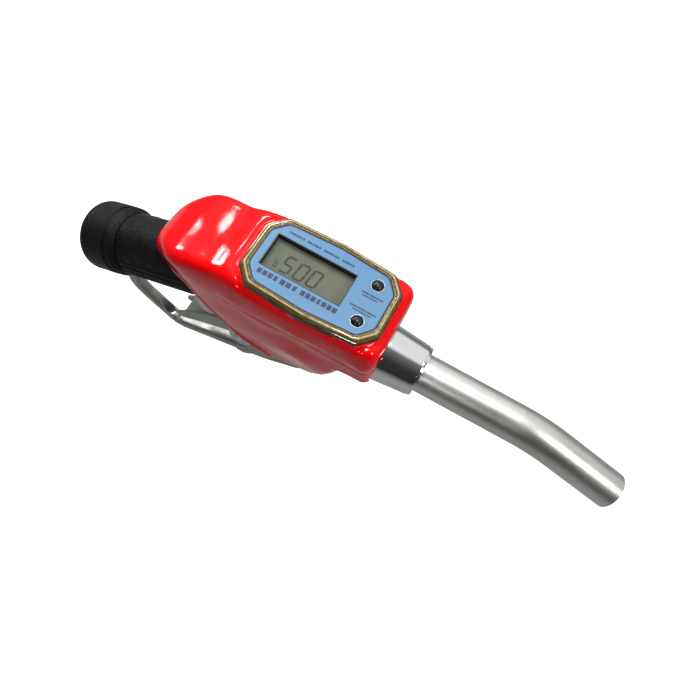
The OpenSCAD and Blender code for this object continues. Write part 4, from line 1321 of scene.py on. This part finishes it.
@dataclass
class LeverAndGuard:
    """Cast channel lever and the cast bar that guards the fingers.

    Attributes:
        half_w: Half width of the lever.
        web: Thickness of its flanges.
        pivot: Place of the pivot in (x, z).
        pin_r: Radius of the pivot pin.
        hub_r: Radius of the hub around the pin.
        pad_x: Place of the stem's pad.
        pad_r: Radius of the pad.
        bar_r: Radius of the guard's bar.
        screw_x: Places of the two screws under the keel.
        screw_hole_r: Radius of their holes.
        counterbore_r: Radius of the counterbores for their heads.
        counterbore_depth: How far below the axis the counterbores end.
        rear_screw_s: Place of the rear screw along the handle.
        rear_hole_r: Radius of the counterbore for its head.
    """

    half_w: float = 8.0
    web: float = 2.4
    pivot: Point2 = (106.0, -20.0)
    pin_r: float = 3.0
    hub_r: float = 6.0
    pad_x: float = 84.0
    pad_r: float = 5.7
    bar_r: float = 4.0
    screw_x: Point2 = (133.0, 144.0)
    screw_hole_r: float = 2.7
    counterbore_r: float = 5.0
    counterbore_depth: float = 30.0
    rear_screw_s: float = 9.0
    rear_hole_r: float = 3.1

    def lever_shape(self, x: Array, y: Array, z: Array) -> Array:
        """Field of the lever: a top plate, two flanges, a hub and the stem's pad.

        Args:
            x: X coordinates.
            y: Y coordinates.
            z: Z coordinates.

        Returns:
            Distances, negative inside.
        """
        top = rounded([(57.2, -41.2), (60, -36.4), (66, -30), (72, -24.6), (78, -19.6), (84, -15.8),
                       (91, -13.8), (99, -14.0), (106, -14.2), (106, -18), (99, -17.4), (91, -17),
                       (84, -18.8), (78, -22.8), (72, -27.8), (66, -33.2), (61.5, -38), (59.5, -42)], 3.0)
        flange = rounded([(52, -47), (51.7, -44.2), (56, -40.7), (60, -37.2), (66, -31), (72, -25.6),
                          (78, -20.6), (84, -16.7), (91, -14.7), (99, -15), (106, -15.2), (106, -24.8),
                          (98, -27), (88, -31), (76, -37), (66, -43), (57, -48.3), (53, -48.6)], 3.0)
        plate = smooth_max(polygon_distance(x, z, top), np.abs(y) - self.half_w, 1.4)
        sides = smooth_max(polygon_distance(x, z, flange),
                           np.abs(np.abs(y) - self.half_w + self.web / 2) - self.web / 2, 1.2)
        from_pivot = np.hypot(x - self.pivot[0], z - self.pivot[1])
        hub = smooth_max(from_pivot - self.hub_r, np.abs(y) - self.half_w, 0.8)
        pad = np.maximum(np.hypot(x - self.pad_x, z - self.pivot[1]) - self.pad_r,
                         np.abs(y) - self.half_w + self.web)
        body = smooth_min(smooth_min(plate, sides, 1.6), smooth_min(hub, pad, 1.0), 1.2)
        return np.maximum(body, self.pin_r + PIN_GAP - from_pivot)

    def guard_shape(self, x: Array, y: Array, z: Array) -> Array:
        """Field of the guard: a rounded bar along its path, a foot and a pad under the keel.

        Args:
            x: X coordinates.
            y: Y coordinates.
            z: Z coordinates.

        Returns:
            Distances, negative inside.
        """
        path = [(18.6, -18.4), (15.2, -27), (14.0, -36), (14.6, -43), (17.4, -49.5), (22.5, -55.5),
                (32, -63.5), (41.5, -71.6), (46.5, -74.8), (52, -74.9), (60, -71.8), (104, -54.2)]
        line = np.full(np.broadcast(x, y, z).shape, FAR_AWAY)
        for a, b in zip(path[:-1], path[1:]):
            line = np.minimum(line, segment_distance(x, z, a, b))
        half = 4.2 + 1.2 * smooth_step(48, 104, x)
        bar = smooth_max(line - self.bar_r, np.abs(y) - half, 3.2)
        arm = rounded([(101.5, -51.0), (127, -26.05), (150, -26.05), (150, -33), (106.3, -57.4), (103, -58.6),
                       (99.8, -56.6)], 3.5)
        width = 5.4 + 1.1 * smooth_step(104, 127, x)
        pad = smooth_max(polygon_distance(x, z, arm), np.abs(y) - width, 2.0)
        s, _ = HANDLE.polar(x, y, z)
        drop = -(x * HANDLE.up[0] + z * HANDLE.up[2])
        foot_side = smooth_max(np.abs(s - 9.5) - 5.5, np.abs(drop - 20.6) - 2.2, 0.8)
        foot = smooth_max(foot_side, np.abs(y) - 5, 0.8)
        body = smooth_min(smooth_min(bar, pad, 4.0), foot, 3.0)
        for place in self.screw_x:
            far = np.hypot(x - place, y)
            body = np.maximum(body, -np.maximum(far - self.counterbore_r, z + self.counterbore_depth))
            body = np.maximum(body, self.screw_hole_r - far)
        rear = np.hypot(s - self.rear_screw_s, y)
        return np.maximum(body, -np.maximum(rear - self.rear_hole_r, 25 - drop))

    def build(self) -> None:
        """Meshes and dresses both castings."""
        lever = mesh_from_field("lever_casting", self.lever_shape, (50, -10, -50.5), (114, 10, -12), 0.62)
        dress(lever, "grey_casting")
        install(lever, "lever", "grey_casting", "lever")
        guard = mesh_from_field("guard_casting", self.guard_shape, (6, -9, -81), (154, 9, -8), 0.85)
        dress(guard, "grey_casting")
        install(guard, "nozzle", "grey_casting", "lever_guard")


# ---------------------------------------------------------------- carried-over castings and internals

@dataclass
class CarriedParts:
    """CAD nodes that keep their own mesh and get a better material.

    Attributes:
        record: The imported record.
    """

    record: dict

    def build(self) -> None:
        """Dresses every CAD node with the finish of its material slot."""
        slots = {row["node"]: row["material_slot"] for row in self.record["subparts"]}
        for name, obj in frame["nodes"].items():
            material = PALETTE.get(slots[name])
            for i in range(len(obj.material_slots)):
                obj.material_slots[i].material = material
            if not obj.material_slots:
                obj.data.materials.append(material)
        LOG.info("dressed %d CAD nodes", len(slots))


@dataclass
class SpringAndThread:
    """Wire-like parts: the valve spring and the hose thread.

    Attributes:
        valve_x: Place of the valve's axis.
        spring_low: Height of the spring's foot.
        spring_top: Height of the cap that it pushes on.
        lift: How far the valve opens; not used.
        thread_r: Radius of the thread's ridge.
    """

    valve_x: float = 84.0
    spring_low: float = 50.6
    spring_top: float = 69.0
    lift: float = 9.2
    thread_r: float = 11.95

    def build(self) -> None:
        """Builds both helixes."""
        wire, free = 0.75, self.spring_top - self.spring_low
        spring = coil("valve_spring_wire", (self.valve_x, 0.0, self.spring_low + wire + 0.02), 0.0,
                      {"Radius": 7.3, "Wire": wire, "Height": free - 2 * wire - 0.04, "Turns": 5.5},
                      "spring_steel")
        install(spring, "nozzle", "spring_steel", "valve_spring")
        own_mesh(spring)
        thread = coil("hose_thread_ridge", tuple(HANDLE.along * 1.2), 90.0 - HANDLE.tilt,
                      {"Radius": self.thread_r, "Wire": 0.45, "Height": 14.0, "Turns": 7.7}, "bright_steel")
        install(thread, "swivel", "bright_steel")


# ---------------------------------------------------------------- studio

@dataclass
class Studio:
    """Plain pale floor, soft studio light and the camera.

    Attributes:
        eye: Place of the camera, in metres.
        right: Unit vector to the picture's right.
        up: Unit vector up the picture.
        back: Unit vector from the scene to the camera.
        shift: Lens shift.
        floor_z: Height of the floor, in metres.
    """

    eye: tuple[float, float, float] = (0.20811, -0.17442, 0.41790)
    right: tuple[float, float, float] = (0.87836, 0.44294, 0.17970)
    up: tuple[float, float, float] = (-0.47730, 0.79238, 0.37988)
    back: tuple[float, float, float] = (0.02587, -0.41944, 0.90741)
    shift: Point2 = (-0.0489, 0.0073)
    floor_z: float = -0.17

    def camera(self) -> None:
        """Places the camera above the near side of the panel, looking down at it."""
        data = bpy.data.cameras.new("camera")
        data.lens, data.sensor_width = 36.0, 36.0
        data.shift_x, data.shift_y = self.shift
        data.clip_start, data.clip_end = 0.01, 20.0
        obj = bpy.data.objects.new("camera", data)
        turn = Matrix((self.right, self.up, self.back)).transposed()
        obj.matrix_world = Matrix.Translation(self.eye) @ turn.to_4x4()
        bpy.context.scene.collection.objects.link(obj)
        bpy.context.scene.camera = obj

    def softbox(self, name: str, place: Sequence[float], aim: Sequence[float], size: Point2,
                power: float) -> None:
        """Adds one rectangular light.

        Args:
            name: Name of the light.
            place: Where it stands, in metres.
            aim: The point it faces.
            size: Its two sides, in metres.
            power: Its power, in watts.
        """
        data = bpy.data.lights.new(name, "AREA")
        data.shape, data.size, data.size_y, data.energy = "RECTANGLE", size[0], size[1], power
        obj = bpy.data.objects.new(name, data)
        way = Vector(aim) - Vector(place)
        obj.matrix_world = Matrix.Translation(place) @ way.to_track_quat("-Z", "Y").to_matrix().to_4x4()
        bpy.context.scene.collection.objects.link(obj)

    def world(self) -> None:
        """White room: bright on the far side and overhead, dark low on the near side."""
        world = bpy.data.worlds.new("studio")
        world.use_nodes = True
        nodes = Nodes(world.node_tree)
        way = nodes.add("ShaderNodeTexCoord").outputs["Generated"]
        split = nodes.add("ShaderNodeSeparateXYZ", {0: way})
        _, y, z = (split.outputs[i] for i in range(3))
        tilt = nodes.maths("ADD", nodes.maths("MULTIPLY", y, 0.74), nodes.maths("MULTIPLY", z, 0.67))
        far = nodes.add("ShaderNodeMapRange", {0: tilt, 1: 0.56, 2: 0.74, 3: 0.0, 4: 1.0},
                        interpolation_type="SMOOTHSTEP")
        low = nodes.add("ShaderNodeMapRange", {0: z, 1: 0.10, 2: 0.28}, interpolation_type="SMOOTHSTEP")
        near = nodes.add("ShaderNodeMapRange", {0: y, 1: -0.75, 2: 0.25, 3: 0.06, 4: 0.40})
        box = nodes.maths("MULTIPLY", far.outputs[0], low.outputs[0])
        bright = nodes.maths("ADD", near.outputs[0], nodes.maths("MULTIPLY", box, 0.75))
        seen = nodes.add("ShaderNodeLightPath").outputs["Is Camera Ray"]
        pale = nodes.add("ShaderNodeMix", {0: seen, 2: bright, 3: 1.2})
        shade = world.node_tree.nodes["Background"]
        world.node_tree.links.new(pale.outputs[0], shade.inputs["Strength"])
        shade.inputs["Color"].default_value = (1.0, 1.0, 1.0, 1.0)
        bpy.context.scene.world = world

    def floor(self) -> None:
        """Large pale floor below the nozzle."""
        reach, z = 4000.0, self.floor_z / MM
        corners = [(sx * reach, sy * reach, z) for sx, sy in ((-1, -1), (1, -1), (1, 1), (-1, 1))]
        obj = mesh_object("studio_floor", np.array(corners), [[0, 1, 2, 3]], False)
        material = bpy.data.materials.new("floor_paper")
        material.use_nodes = True
        shader = material.node_tree.nodes["Principled BSDF"]
        shader.inputs["Base Color"].default_value = (0.36, 0.36, 0.36, 1.0)
        shader.inputs["Roughness"].default_value = 0.9
        shader.inputs["Specular IOR Level"].default_value = 0.0
        shader.inputs["Emission Color"].default_value = (1.0, 1.0, 1.0, 1.0)
        nodes = Nodes(material.node_tree)
        seen = nodes.add("ShaderNodeLightPath").outputs["Is Camera Ray"]
        glow = nodes.maths("MULTIPLY", seen, 1.05)
        nodes.tree.links.new(glow, shader.inputs["Emission Strength"])
        obj.data.materials.append(material)

    def build(self) -> None:
        """Sets up light, floor, camera and the view transform."""
        self.camera()
        self.world()
        self.floor()
        middle = (0.13, 0.0, 0.04)
        boxes = (("near_window", (0.10, -0.75, 0.62), (0.16, 0.16), 1.2),
                 ("rear_window", (-0.55, 0.22, 0.42), (0.16, 0.13), 2.2),
                 ("hood_window", (-0.26, 0.46, 0.68), (0.22, 0.13), 3.0),
                 ("front_window", (0.85, -0.10, 0.62), (0.18, 0.30), 2.8),
                 ("top_strip", (0.16, 0.10, 1.0), (0.10, 0.30), 4.4))
        for name, place, size, power in boxes:
            self.softbox(name, place, middle, size, power)
        bpy.context.scene.view_settings.view_transform = "Standard"
        bpy.context.scene.view_settings.look = "Medium High Contrast"
        bpy.context.scene.view_settings.exposure = -0.28


GRIP = HandleGrip()
PANEL = MeterPanel()


def main() -> None:
    """Builds the studio and every sub-assembly in order."""
    logging.basicConfig(level=logging.INFO, format="%(message)s")
    Studio().build()
    CarriedParts(frame["record"]).build()
    GRIP.build()
    PANEL.build()
    LeverAndGuard().build()
    SpringAndThread().build()
    VinylCover().build()


if __name__ == "__main__":
    main()
